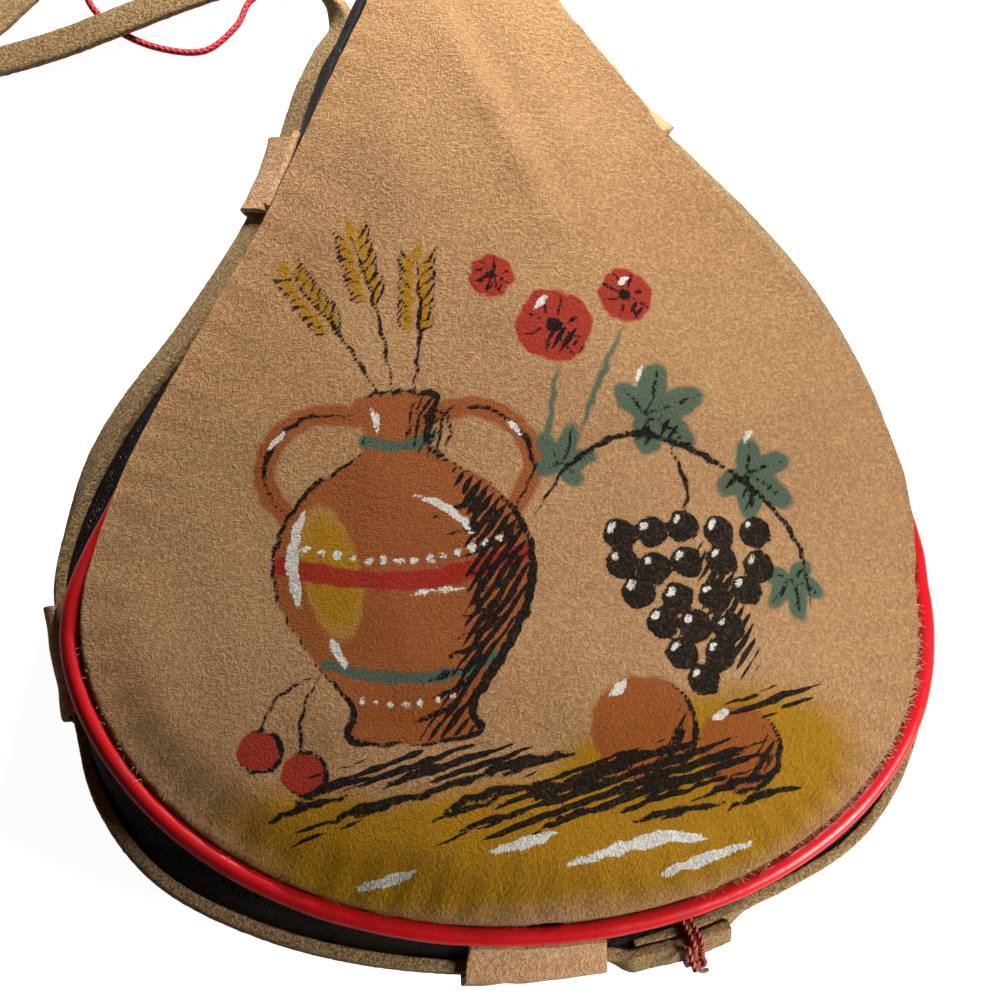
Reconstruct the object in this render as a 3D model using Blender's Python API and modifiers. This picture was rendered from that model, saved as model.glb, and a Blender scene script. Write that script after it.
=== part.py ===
"""Leather bota bag, lying on its back.

Metres. +Y runs from the bottom of the bag to its mouthpiece, +X to the right when the
suede front is seen from above, and +Z up out of the front. The origin is on the surface
that the bag lies on, under the middle of the bag. In the functions below v is a height
along the bag, from the bottom of its seam, and q is a place round its outline: 0 at the
bottom, -1 at the left of the neck and 1 at the right.
"""
import math

import bmesh
import bpy
from mathutils import Vector

# Clearance between two pieces that touch
GAP = 0.0003

# Bag body: the seam line seen from above
BELLY_HALF_WIDTH = 0.0940
BELLY_HEIGHT = 0.0690
SHOULDER_LENGTH = 0.1650
NECK_LENGTH = 0.0150
BELLY_POWER = 2.05
BELLY_Q_SHARE = 0.45
# Half-width above the belly: place along the shoulder, and share between neck and belly
SHOULDER_SHARES = (
    (0.00, 1.000),
    (0.07, 0.990),
    (0.19, 0.921),
    (0.31, 0.816),
    (0.43, 0.685),
    (0.55, 0.526),
    (0.67, 0.378),
    (0.79, 0.236),
    (0.86, 0.155),
    (0.92, 0.093),
    (1.00, 0.000),
)
# Sideways lean, as the filled bag lies; places below the belly are negative
LEAN = 0.0070
LEAN_SHARES = (
    (-0.42, 0.50),
    (-0.20, 0.35),
    (0.00, 0.07),
    (0.07, 0.22),
    (0.19, 0.65),
    (0.31, 0.93),
    (0.43, 1.03),
    (0.55, 0.83),
    (0.67, 0.48),
    (0.79, 0.18),
    (0.92, 0.00),
    (1.00, 0.00),
)

# Bag body: heights over the surface that it lies on
FRONT_SEAM_HEIGHT = 0.0330
BACK_SEAM_HEIGHT = 0.0090
FRONT_DOME = 0.0125
FRONT_DOME_REACH = 0.0600
BACK_DOME_REACH = 0.0300
BACK_FLAT_SHARE = 0.55
DOME_POWER = 2.2

# Leather, liner and piping
LEATHER = 0.0020
LINER_WALL = 0.0010
LINER_SIDE_ROOM = 0.0060
LINER_REACH = 0.0450
LINER_MORPH_END_SHARE = 0.97
PIPING_RADIUS = 0.0021
SEAM_CLOSING = 0.0020
# Outward bulge of the side band, from the left of the neck round to the right
BULGE = 0.0072
BULGE_SHARES = (
    (0.00, 0.20),
    (0.12, 0.25),
    (0.24, 0.20),
    (0.29, 0.20),
    (0.33, 0.60),
    (0.37, 1.00),
    (0.41, 0.80),
    (0.45, 0.60),
    (0.50, 0.50),
    (0.56, 0.45),
    (0.63, 0.40),
    (0.71, 0.20),
    (0.76, 0.20),
    (0.88, 0.25),
    (1.00, 0.20),
)

# Neck: its leather tube, and the cord bound round it
NECK_RADIUS = 0.0136
NECK_AXIS_HEIGHT = 0.0240
NECK_SEAM_ANGLE = math.radians(38.0)
NECK_MORPH_SHARE = 0.60
BINDING_CORD_RADIUS = 0.00085
BINDING_SPACING = 0.00045
BINDING_TURNS = 5

# Collar that the neck is bound on, with its outer thread
COLLAR_WALL = 0.0020
COLLAR_SPIGOT_DEPTH = 0.0170
COLLAR_FLANGE = 0.0022
COLLAR_OVERHANG = 0.0008
COLLAR_THREAD_LENGTH = 0.0090
COLLAR_THREAD_PITCH = 0.0030
COLLAR_THREAD_DEPTH = 0.0010
THREAD_LEAD_IN = 0.0006
THREAD_CLEARANCE = 0.00045

# Nozzle and its washer
NOZZLE_WALL = 0.0022
NOZZLE_CONE_LENGTH = 0.0140
NOZZLE_CONE_POWER = 1.7
GRIP_DEPTH = 0.0005
WASHER_THICKNESS = 0.0015
WASHER_ROOM = 0.0004
JET_RADIUS = 0.0010
JET_LENGTH = 0.0030
TIP_BORE_RADIUS = 0.0018
TIP_WALL = 0.0022
TIP_FOOT_LENGTH = 0.0030
TIP_FOOT_OVERHANG = 0.0008
TIP_THREAD_LENGTH = 0.0080
TIP_THREAD_PITCH = 0.0020
TIP_THREAD_DEPTH = 0.0006

# Cap, its seal, and the eye that its cord runs through
CAP_WALL = 0.0016
CAP_TOP = 0.0020
CAP_CHAMFER = 0.0008
SEAL_THICKNESS = 0.0012
EYE_GROOVE_DEPTH = 0.0007
EYE_GROOVE_LIP = 0.0012
EYE_RING_WIDTH = 0.0016
EYE_RING_WALL = 0.0020
EYE_HOLE_ROOM = 0.0005
EYE_WALL = 0.0014
EYE_LENGTH = 0.0060
EYE_SEAT = 0.0002

# Shoulder strap round the bag, and the loops that hold it
STRAP_WIDTH = 0.0070
STRAP_THICKNESS = 0.0030
STRAP_TILT = math.radians(48.0)
STRAP_TILT_START_V = 0.0800
STRAP_TILT_END_V = 0.1200
LOOP_THICKNESS = 0.0015
LOOP_SEAM_SHARE = 0.92
# Where the loop meets the band again, from under the strap to its back seam
LOOP_HEM_SHARE = 0.59
LOOP_SEAT = 0.0008
SIDE_LOOP_LENGTH = 0.0230
BOTTOM_LOOP_LENGTH = 0.0300
LOWER_LOOP_V = 0.0665
# Distances below the neck
UPPER_LEFT_LOOP_DROP = 0.0570
UPPER_RIGHT_LOOP_DROP = 0.0415
LEFT_RUN_TOP_DROP = 0.0350
RIGHT_RUN_TOP_DROP = 0.0220
BOTTOM_LOOP_X = 0.0020
OUTER_END_X = 0.0430
INNER_END_X = 0.0235
LAP_RISE = 0.0060
TIE_X = 0.0350
TIE_CORD_RADIUS = 0.0006
TIE_SPACING = 0.0005
TIE_TURNS = 2
TIE_TAIL = 0.0050
TIE_ROOM = 2 * TIE_CORD_RADIUS + GAP

# Cords that lie free
STRAP_STEP_SHARE = 1.25
STRAP_RUN_SHARE = 1.3
TETHER_STEP_SHARE = 2.9
TETHER_RUN_BELOW_EYE = 0.0064
TETHER_RUN_ABOVE_EYE = 0.0095

# How finely curves are drawn
PROBE_SHARE = 0.0005
LOWER_STATIONS = 9
UPPER_STATIONS = 11
PANEL_COLUMNS = 12
BAND_ROWS = 6
LOOP_STEPS = 4
LATHE_STEPS = 20
THREAD_ROWS = 5

# Places that follow from the sizes above
NECK_V = BELLY_HEIGHT + SHOULDER_LENGTH
TOP_V = NECK_V + NECK_LENGTH
UPPER_LEFT_LOOP_V = NECK_V - UPPER_LEFT_LOOP_DROP
UPPER_RIGHT_LOOP_V = NECK_V - UPPER_RIGHT_LOOP_DROP
LEFT_RUN_TOP_V = NECK_V - LEFT_RUN_TOP_DROP
RIGHT_RUN_TOP_V = NECK_V - RIGHT_RUN_TOP_DROP
COLLAR_RADIUS = NECK_RADIUS - LEATHER - GAP - LINER_WALL - GAP
COLLAR_BORE = COLLAR_RADIUS - COLLAR_WALL
COLLAR_THREAD_START = GAP + COLLAR_FLANGE
COLLAR_TOP = COLLAR_THREAD_START + COLLAR_THREAD_LENGTH + THREAD_LEAD_IN
COLLAR_THREAD_RADIUS = COLLAR_RADIUS + COLLAR_THREAD_DEPTH / 2
NOZZLE_BASE = COLLAR_THREAD_START + GAP
WASHER_BASE = COLLAR_TOP + GAP
NOZZLE_SHOULDER = WASHER_BASE + WASHER_THICKNESS + GAP
NOZZLE_THREAD_RADIUS = COLLAR_THREAD_RADIUS + THREAD_CLEARANCE
NOZZLE_RADIUS = NOZZLE_THREAD_RADIUS + COLLAR_THREAD_DEPTH / 2 + NOZZLE_WALL
CONE_BASE = NOZZLE_SHOULDER + NOZZLE_WALL
TIP_FOOT = CONE_BASE + NOZZLE_CONE_LENGTH
TIP_THREAD_START = TIP_FOOT + TIP_FOOT_LENGTH
TIP_TOP = TIP_THREAD_START + TIP_THREAD_LENGTH + THREAD_LEAD_IN
TIP_THREAD_RADIUS = TIP_BORE_RADIUS + TIP_WALL + TIP_THREAD_DEPTH / 2
CAP_BASE = TIP_THREAD_START + GAP
CAP_THREAD_RADIUS = TIP_THREAD_RADIUS + THREAD_CLEARANCE
CAP_RADIUS = CAP_THREAD_RADIUS + TIP_THREAD_DEPTH / 2 + CAP_WALL
SEAL_BASE = TIP_TOP + GAP
CAP_CEILING = SEAL_BASE + SEAL_THICKNESS + GAP
CAP_TOP_FACE = CAP_CEILING + CAP_TOP
EYE_GROOVE_START = CAP_BASE + EYE_GROOVE_LIP
EYE_RING_INNER = CAP_RADIUS - EYE_GROOVE_DEPTH + GAP
EYE_RING_OUTER = EYE_RING_INNER + EYE_RING_WALL
EYE_RING_MIDDLE = EYE_GROOVE_START + GAP + EYE_RING_WIDTH / 2
EYE_HOLE_RADIUS = BINDING_CORD_RADIUS + EYE_HOLE_ROOM
EYE_REACH = EYE_RING_OUTER - EYE_SEAT + EYE_WALL + EYE_HOLE_RADIUS


def smooth_share(shares, place):
    """Value at a place of a curve through (place, value) shares."""
    last = len(shares) - 1
    if place <= shares[0][0]:
        return shares[0][1]
    if place >= shares[last][0]:
        return shares[last][1]
    right = next(i for i in range(1, last + 1) if place <= shares[i][0])
    left = right - 1

    def slope(i):
        low = shares[max(i - 1, 0)]
        high = shares[min(i + 1, last)]
        return (high[1] - low[1]) / (high[0] - low[0])

    span = shares[right][0] - shares[left][0]
    step = (place - shares[left][0]) / span
    rise = shares[left][1] * (1 + 2 * step) * (1 - step) ** 2
    rise += shares[right][1] * step ** 2 * (3 - 2 * step)
    rise += slope(left) * span * step * (1 - step) ** 2
    return rise - slope(right) * span * step ** 2 * (1 - step)


def ease(low, high, value):
    """0 below low, 1 above high, and a smooth step between them."""
    step = min(max((value - low) / (high - low), 0), 1)
    return step * step * (3 - 2 * step)


def shoulder_share(v):
    return (v - BELLY_HEIGHT) / SHOULDER_LENGTH


def lean(v):
    return LEAN * smooth_share(LEAN_SHARES, shoulder_share(v))


def neck_share(v):
    """How far the section at height v has turned into the round neck."""
    return ease(NECK_MORPH_SHARE, 1, shoulder_share(v))


def shoulder_half_width(v):
    neck = NECK_RADIUS * math.cos(NECK_SEAM_ANGLE)
    return neck + (BELLY_HALF_WIDTH - neck) * smooth_share(SHOULDER_SHARES, shoulder_share(v))


def outline_v(q, inset=0):
    """Height of the outline at q, drawn in by inset."""
    turn = abs(q) / BELLY_Q_SHARE
    if turn < 1:
        drop = math.cos(turn * math.pi / 2) ** (2 / BELLY_POWER)
        return inset + (BELLY_HEIGHT - inset) * (1 - drop)
    return BELLY_HEIGHT + (abs(q) - BELLY_Q_SHARE) / (1 - BELLY_Q_SHARE) * (TOP_V - BELLY_HEIGHT)


def outline_half_width(q, inset=0):
    turn = abs(q) / BELLY_Q_SHARE
    if turn < 1:
        return (BELLY_HALF_WIDTH - inset) * math.sin(turn * math.pi / 2) ** (2 / BELLY_POWER)
    v = outline_v(q)
    probe = PROBE_SHARE * TOP_V
    slope = (shoulder_half_width(v + probe) - shoulder_half_width(v - probe)) / (2 * probe)
    return shoulder_half_width(v) - inset * math.hypot(1, slope)


def outline_point(q):
    v = outline_v(q)
    side = 1 if q >= 0 else -1
    return Vector((lean(v) + side * outline_half_width(q), v, 0))


def outline_normal(q):
    """Level direction out of the outline at q."""
    low = outline_point(max(q - PROBE_SHARE, -1))
    high = outline_point(min(q + PROBE_SHARE, 1))
    along = (high - low).normalized()
    return Vector((along.y, -along.x, 0))


def q_at_v(v, side):
    """Place on one side of the outline that is at height v, found by halving."""
    low = 0.0
    high = 1.0
    for _ in range(40):
        middle = (low + high) / 2
        if outline_v(middle) < v:
            low = middle
        else:
            high = middle
    return side * low


def q_at_x(x):
    """Place on the bottom of the outline that is at x."""
    low = -BELLY_Q_SHARE
    high = BELLY_Q_SHARE
    for _ in range(40):
        middle = (low + high) / 2
        if outline_point(middle).x < x:
            low = middle
        else:
            high = middle
    return low


def side_stations():
    """Places q from the bottom to the neck that every piece of the body is drawn at."""
    lower = [BELLY_Q_SHARE * i / LOWER_STATIONS for i in range(1, LOWER_STATIONS + 1)]
    reach = NECK_V - BELLY_HEIGHT
    heights = [BELLY_HEIGHT + reach * i / UPPER_STATIONS for i in range(1, UPPER_STATIONS + 1)]
    heights += [NECK_V + SEAM_CLOSING, TOP_V]
    upper = [q_at_v(v, 1) for v in heights]
    upper[-1] = 1.0
    return lower + upper


def round_stations(low, high):
    """Places q from low to high, with those two and the body's own between them."""
    half = side_stations()
    every = [-q for q in reversed(half)] + [0.0] + half
    margin = PROBE_SHARE * 4
    return [low] + [q for q in every if low + margin < q < high - margin] + [high]


def seam_room(v):
    """Distance that leather keeps from the seam line, which closes past the piping."""
    open_room = PIPING_RADIUS + GAP
    closing = ease(NECK_V + GAP, NECK_V + SEAM_CLOSING, v)
    return open_room + (GAP - open_room) * closing


def middle_height():
    return (FRONT_SEAM_HEIGHT + BACK_SEAM_HEIGHT) / 2


def neck_form(v, angle):
    """Point of the round neck's section, at an angle up from +X."""
    wide = shoulder_half_width(v) / math.cos(NECK_SEAM_ANGLE)
    x = lean(v) + wide * math.cos(angle)
    return Vector((x, v, NECK_AXIS_HEIGHT + NECK_RADIUS * math.sin(angle)))


def panel_point(q, u, front):
    """Outer face of a panel, in the row at q and at u from -1 at its left to 1."""
    room = seam_room(outline_v(q))
    v = outline_v(q, room)
    half = outline_half_width(q, room)
    curve = 1 - abs(u) ** DOME_POWER
    if front:
        rise = math.sqrt(1 - (1 - min(v / FRONT_DOME_REACH, 1)) ** 2)
        z = FRONT_SEAM_HEIGHT + FRONT_DOME * rise * curve
    else:
        rise = math.sqrt(1 - (1 - min(v / BACK_DOME_REACH, 1)) ** 2)
        edge = max((abs(u) - BACK_FLAT_SHARE) / (1 - BACK_FLAT_SHARE), 0) ** 2
        z = BACK_SEAM_HEIGHT * (1 - rise * (1 - edge))
    body = Vector((lean(v) + u * half, v, z))
    if v <= BELLY_HEIGHT:
        return body
    spread = math.pi / 2 - NECK_SEAM_ANGLE - room / NECK_RADIUS
    angle = math.pi / 2 - u * spread
    neck = neck_form(v, angle if front else -angle)
    return body.lerp(neck, neck_share(v))


def bulge(q):
    return BULGE * smooth_share(BULGE_SHARES, (q + 1) / 2)


def band_point(q, rise):
    """Outer face of the side band at q, with rise from -1 at its back edge to 1."""
    v = outline_v(q)
    room = seam_room(v)
    out = outline_normal(q) * bulge(q) * (1 - rise * rise)
    half_height = (FRONT_SEAM_HEIGHT - BACK_SEAM_HEIGHT) / 2 - room
    body = outline_point(q) + out
    body.z = middle_height() + rise * half_height
    if v <= BELLY_HEIGHT:
        return body
    angle = rise * (NECK_SEAM_ANGLE - room / NECK_RADIUS)
    neck = neck_form(v, angle if q >= 0 else math.pi - angle)
    return body.lerp(neck, neck_share(v))


def seam_point(q, front):
    """Middle of the piping at q."""
    v = outline_v(q)
    body = outline_point(q)
    body.z = FRONT_SEAM_HEIGHT if front else BACK_SEAM_HEIGHT
    if v <= BELLY_HEIGHT:
        return body
    angle = NECK_SEAM_ANGLE if front else -NECK_SEAM_ANGLE
    neck = neck_form(v, angle if q >= 0 else math.pi - angle)
    return body.lerp(neck, neck_share(v))


def make_collection(name):
    group = bpy.data.collections.new(name)
    bpy.context.scene.collection.children.link(group)
    return group


def make_material(name, colour, roughness):
    material = bpy.data.materials.new(name)
    material.use_nodes = True
    shader = material.node_tree.nodes["Principled BSDF"]
    shader.inputs["Base Color"].default_value = (*colour, 1)
    shader.inputs["Roughness"].default_value = roughness
    shader.inputs["Metallic"].default_value = 0
    return material


def add_object(name, data, material, parent=None):
    item = bpy.data.objects.new(name, data)
    bota.objects.link(item)
    data.materials.append(material)
    item.parent = parent
    return item


def mesh_from(bm, name):
    mesh = bpy.data.meshes.new(name)
    bm.to_mesh(mesh)
    bm.free()
    return mesh


def face_outward(bm, centre):
    """Turn an open surface's faces away from centre."""
    bmesh.ops.recalc_face_normals(bm, faces=bm.faces)
    away = sum((face.calc_center_median() - centre).dot(face.normal) for face in bm.faces)
    if away < 0:
        bmesh.ops.reverse_faces(bm, faces=bm.faces)


def shaped_grid(columns, rows, place):
    """Grid whose point in column i and row j is moved to place(i, j)."""
    bm = bmesh.new()
    bmesh.ops.create_grid(bm, x_segments=columns, y_segments=rows, size=0.5)
    for vert in bm.verts:
        i = round((vert.co.x + 0.5) * columns)
        j = round((vert.co.y + 0.5) * rows)
        vert.co = place(i, j)
    return bm


def add_shell(name, bm, centre, thickness, material, outward=False):
    """Leather or rubber of an even thickness, from an open surface."""
    face_outward(bm, centre)
    item = add_object(name, mesh_from(bm, name), material)
    solidify = item.modifiers.new("thickness", "SOLIDIFY")
    solidify.thickness = thickness
    solidify.offset = 1 if outward else -1
    solidify.use_even_offset = True
    item.data.shade_smooth()
    item.data.set_sharp_from_angle(angle=math.radians(40))
    item.location.y = -middle_v
    return item


def add_loft(name, sections, material):
    """Closed solid through rings of points, closed at its two ends."""
    sides = len(sections[0])
    bm = shaped_grid(sides, len(sections) - 1, lambda i, j: sections[j][i % sides])
    bmesh.ops.remove_doubles(bm, verts=bm.verts, dist=GAP / 30)
    bmesh.ops.holes_fill(bm, edges=bm.edges, sides=0)
    bmesh.ops.recalc_face_normals(bm, faces=bm.faces)
    item = add_object(name, mesh_from(bm, name), material)
    item.location.y = -middle_v
    return item


def add_tube(name, points, radius, material, resolution=2):
    """Round cord through points, with flat ends."""
    curve = bpy.data.curves.new(name, "CURVE")
    curve.dimensions = "3D"
    curve.bevel_depth = radius
    curve.bevel_resolution = resolution
    curve.use_fill_caps = True
    spline = curve.splines.new("POLY")
    spline.points.add(len(points) - 1)
    for point, place in zip(spline.points, points):
        point.co = (*place, 1)
    item = add_object(name, curve, material)
    item.location.y = -middle_v
    return item


def smooth_route(route, spacing):
    """Even points along a smooth curve through a route's own points."""
    dense = []
    ends = [route[0] * 2 - route[1]] + route + [route[-1] * 2 - route[-2]]
    for before, start, finish, after in zip(ends, ends[1:], ends[2:], ends[3:]):
        for i in range(16):
            t = i / 16
            straight = start * 2 + (finish - before) * t
            bend = (before * 2 - start * 5 + finish * 4 - after) * t ** 2
            twist = (start * 3 - before - finish * 3 + after) * t ** 3
            dense.append((straight + bend + twist) / 2)
    dense.append(route[-1])
    lengths = [0.0]
    for start, finish in zip(dense, dense[1:]):
        lengths.append(lengths[-1] + (finish - start).length)
    count = max(round(lengths[-1] / spacing), 2)
    points = []
    piece = 0
    for i in range(count + 1):
        along = lengths[-1] * i / count
        while piece < len(dense) - 2 and lengths[piece + 1] < along:
            piece += 1
        share = (along - lengths[piece]) / (lengths[piece + 1] - lengths[piece])
        points.append(dense[piece].lerp(dense[piece + 1], share))
    return points


def along_lengths(points):
    return sum((b - a).length for a, b in zip(points, points[1:]))


def lathe(profile, threads=(), grip=None, steps=LATHE_STEPS):
    """Turn a closed profile of (radius, height) about Z, then cut threads and grips.

    A thread is (mean radius, low, high, pitch, depth). A grip is (radius, low, high).
    """
    bm = bmesh.new()
    ring = [bm.verts.new((radius, 0, height)) for radius, height in profile]
    touches_axis = profile[0][0] == 0
    pairs = zip(ring, ring[1:]) if touches_axis else zip(ring, ring[1:] + ring[:1])
    edges = [bm.edges.new(pair) for pair in pairs]
    bmesh.ops.spin(
        bm,
        geom=ring + edges,
        cent=(0, 0, 0),
        axis=(0, 0, 1),
        angle=math.tau,
        steps=steps,
        use_merge=True,
    )
    bmesh.ops.remove_doubles(bm, verts=bm.verts, dist=GAP / 30)
    margin = GAP / 10
    for vert in bm.verts:
        radius = math.hypot(vert.co.x, vert.co.y)
        angle = math.atan2(vert.co.y, vert.co.x)
        change = 0
        for mean, low, high, pitch, depth in threads:
            if abs(radius - mean) < margin and low - margin < vert.co.z < high + margin:
                change = depth / 2 * math.cos(math.tau * (vert.co.z - low) / pitch - angle)
        if grip and abs(radius - grip[0]) < margin and grip[1] - margin < vert.co.z < grip[2] + margin:
            step = round(angle / math.tau * steps)
            change = -GRIP_DEPTH if step % 2 else 0
        if change:
            vert.co.x *= (radius + change) / radius
            vert.co.y *= (radius + change) / radius
    bmesh.ops.recalc_face_normals(bm, faces=bm.faces)
    return bm


def thread_rows(radius, low, high, pitch):
    """Profile points along a thread."""
    count = math.ceil((high - low) / pitch * THREAD_ROWS)
    return [(radius, low + (high - low) * i / count) for i in range(count + 1)]


def add_turned(name, bm, material):
    item = add_object(name, mesh_from(bm, name), material, neck_axis)
    item.data.shade_smooth()
    item.data.set_sharp_from_angle(angle=math.radians(40))
    return item


def ring_profile(inner, outer, low, high):
    return [(inner, low), (outer, low), (outer, high), (inner, high)]


def make_panels():
    """Suede front and plain back, each a shell domed out from its seam."""
    rows = side_stations()

    def place(front):
        def at(i, j):
            return panel_point(rows[j], 2 * i / PANEL_COLUMNS - 1, front)

        return at

    core = Vector((0, BELLY_HEIGHT, middle_height()))
    front = shaped_grid(PANEL_COLUMNS, len(rows) - 1, place(True))
    add_shell("front_panel", front, core, LEATHER, suede)
    back = shaped_grid(PANEL_COLUMNS, len(rows) - 1, place(False))
    add_shell("back_panel", back, core, LEATHER, black_leather)


def make_side_gusset():
    """Band between the two panels, from the neck round the bottom and back."""
    stations = round_stations(-1, 1)
    bm = shaped_grid(
        len(stations) - 1, BAND_ROWS, lambda i, j: band_point(stations[i], 2 * j / BAND_ROWS - 1)
    )
    core = Vector((0, BELLY_HEIGHT, middle_height()))
    add_shell("side_gusset", bm, core, LEATHER, black_leather)


def make_piping():
    """Cord of glossy plastic in each of the two seams."""
    end = q_at_v(NECK_V - GAP, 1)
    for name, front in (("front_piping", True), ("back_piping", False)):
        points = [seam_point(q, front) for q in round_stations(-end, end)]
        add_tube(name, points, PIPING_RADIUS, red_plastic)


def liner_section(q, sides):
    """Ring of the liner's outer face in the row at q."""
    v = outline_v(q, LINER_SIDE_ROOM)
    half = outline_half_width(q, LINER_SIDE_ROOM)
    reach = math.sqrt(1 - (1 - min(v / LINER_REACH, 1)) ** 2)
    dome = math.sqrt(1 - (1 - min(v / FRONT_DOME_REACH, 1)) ** 2)
    low = LEATHER + GAP
    high = FRONT_SEAM_HEIGHT + FRONT_DOME * dome - LEATHER - GAP
    middle = (high + low) / 2
    half_height = (high - low) / 2 * reach
    neck = NECK_RADIUS - LEATHER - GAP
    ring = []
    for i in range(sides):
        angle = math.tau * i / sides
        body = Vector((half * math.cos(angle), 0, half_height * math.sin(angle)))
        body += Vector((lean(v), v, middle))
        tube = Vector((neck * math.cos(angle), v, NECK_AXIS_HEIGHT + neck * math.sin(angle)))
        ring.append(body.lerp(tube, ease(NECK_MORPH_SHARE, LINER_MORPH_END_SHARE, shoulder_share(v))))
    return ring


def make_liner():
    """Rubber bladder that holds the wine, open at its neck."""
    rows = side_stations()[1:]
    sides = 16
    rings = [liner_section(q, sides) for q in rows]
    bm = shaped_grid(sides, len(rows) - 1, lambda i, j: rings[j][i % sides])
    bmesh.ops.remove_doubles(bm, verts=bm.verts, dist=GAP / 30)
    low_edges = [e for e in bm.edges if e.is_boundary and e.verts[0].co.y < BELLY_HEIGHT]
    bmesh.ops.contextual_create(bm, geom=low_edges)
    core = Vector((0, BELLY_HEIGHT, middle_height()))
    add_shell("latex_liner", bm, core, LINER_WALL, latex)


def make_collar():
    """Threaded collar, its spigot in the neck and its flange on the neck's edge."""
    flange = NECK_RADIUS + COLLAR_OVERHANG
    thread_end = COLLAR_THREAD_START + COLLAR_THREAD_LENGTH
    profile = [(COLLAR_BORE, -COLLAR_SPIGOT_DEPTH), (COLLAR_RADIUS, -COLLAR_SPIGOT_DEPTH)]
    profile += [(COLLAR_RADIUS, GAP), (flange, GAP), (flange, COLLAR_THREAD_START)]
    profile += thread_rows(
        COLLAR_THREAD_RADIUS, COLLAR_THREAD_START, thread_end, COLLAR_THREAD_PITCH
    )
    profile += [(COLLAR_RADIUS - THREAD_LEAD_IN, COLLAR_TOP), (COLLAR_BORE, COLLAR_TOP)]
    thread = (
        COLLAR_THREAD_RADIUS,
        COLLAR_THREAD_START,
        thread_end,
        COLLAR_THREAD_PITCH,
        COLLAR_THREAD_DEPTH,
    )
    add_turned("neck_collar", lathe(profile, [thread]), black_plastic)


def make_nozzle():
    """Drinking nozzle: threaded skirt, hollow cone, and a threaded tip with its jet."""
    tip_end = TIP_THREAD_START + TIP_THREAD_LENGTH
    foot = TIP_THREAD_RADIUS + TIP_THREAD_DEPTH / 2 + TIP_FOOT_OVERHANG
    tip_root = TIP_THREAD_RADIUS - TIP_THREAD_DEPTH / 2
    skirt_top = COLLAR_TOP + WASHER_THICKNESS
    cone = []
    for i in range(6):
        share = i / 5
        cone.append((share, (1 - share) ** NOZZLE_CONE_POWER))
    outer_base = NOZZLE_RADIUS - NOZZLE_WALL
    outer = [(foot + (outer_base - foot) * w, CONE_BASE + NOZZLE_CONE_LENGTH * s) for s, w in cone]
    bore = TIP_BORE_RADIUS
    inner_base = COLLAR_BORE
    inner = [
        (bore + (inner_base - bore) * w, NOZZLE_SHOULDER + NOZZLE_CONE_LENGTH * s) for s, w in cone
    ]
    profile = thread_rows(NOZZLE_THREAD_RADIUS, NOZZLE_BASE, skirt_top, COLLAR_THREAD_PITCH)
    profile = profile[::-1]
    profile += [(NOZZLE_RADIUS, NOZZLE_BASE), (NOZZLE_RADIUS, CONE_BASE)]
    profile += outer
    profile += [(foot, TIP_THREAD_START)]
    profile += thread_rows(TIP_THREAD_RADIUS, TIP_THREAD_START, tip_end, TIP_THREAD_PITCH)
    profile += [(tip_root - THREAD_LEAD_IN, TIP_TOP), (JET_RADIUS, TIP_TOP)]
    profile += [(JET_RADIUS, TIP_TOP - JET_LENGTH), (bore, TIP_TOP - JET_LENGTH)]
    profile += inner[::-1]
    profile += [(NOZZLE_THREAD_RADIUS + COLLAR_THREAD_DEPTH / 2, NOZZLE_SHOULDER)]
    threads = [
        (
            NOZZLE_THREAD_RADIUS,
            NOZZLE_BASE,
            skirt_top,
            COLLAR_THREAD_PITCH,
            COLLAR_THREAD_DEPTH,
        ),
        (TIP_THREAD_RADIUS, TIP_THREAD_START, tip_end, TIP_THREAD_PITCH, TIP_THREAD_DEPTH),
    ]
    add_turned("nozzle", lathe(profile, threads), red_plastic)
    inner_edge = COLLAR_BORE + GAP
    outer_edge = NOZZLE_THREAD_RADIUS - COLLAR_THREAD_DEPTH / 2 - WASHER_ROOM
    washer = ring_profile(inner_edge, outer_edge, WASHER_BASE, WASHER_BASE + WASHER_THICKNESS)
    add_turned("nozzle_washer", lathe(washer), rubber)


def make_cap():
    """Screw cap with a groove for its eye ring, and the seal under its top."""
    thread_end = TIP_TOP
    groove = CAP_RADIUS - EYE_GROOVE_DEPTH
    groove_end = EYE_GROOVE_START + EYE_RING_WIDTH + 2 * GAP
    grip_start = groove_end + CAP_CHAMFER
    grip_end = CAP_TOP_FACE - CAP_CHAMFER
    profile = [(0, CAP_TOP_FACE), (CAP_RADIUS - CAP_CHAMFER, CAP_TOP_FACE)]
    profile += [(CAP_RADIUS, grip_end), (CAP_RADIUS, grip_start), (CAP_RADIUS, groove_end)]
    profile += [(groove, groove_end), (groove, EYE_GROOVE_START)]
    profile += [(CAP_RADIUS, EYE_GROOVE_START), (CAP_RADIUS, CAP_BASE)]
    profile += thread_rows(CAP_THREAD_RADIUS, CAP_BASE, thread_end, TIP_THREAD_PITCH)
    profile += [(CAP_THREAD_RADIUS + TIP_THREAD_DEPTH / 2, CAP_CEILING), (0, CAP_CEILING)]
    thread = (CAP_THREAD_RADIUS, CAP_BASE, thread_end, TIP_THREAD_PITCH, TIP_THREAD_DEPTH)
    grip = (CAP_RADIUS, grip_start, grip_end)
    add_turned("cap", lathe(profile, [thread], grip), black_plastic)
    seal_radius = TIP_THREAD_RADIUS - TIP_THREAD_DEPTH / 2
    seal = [(0, SEAL_BASE + SEAL_THICKNESS), (seal_radius, SEAL_BASE + SEAL_THICKNESS)]
    seal += [(seal_radius, SEAL_BASE), (0, SEAL_BASE)]
    add_turned("cap_seal", lathe(seal), rubber)


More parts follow.
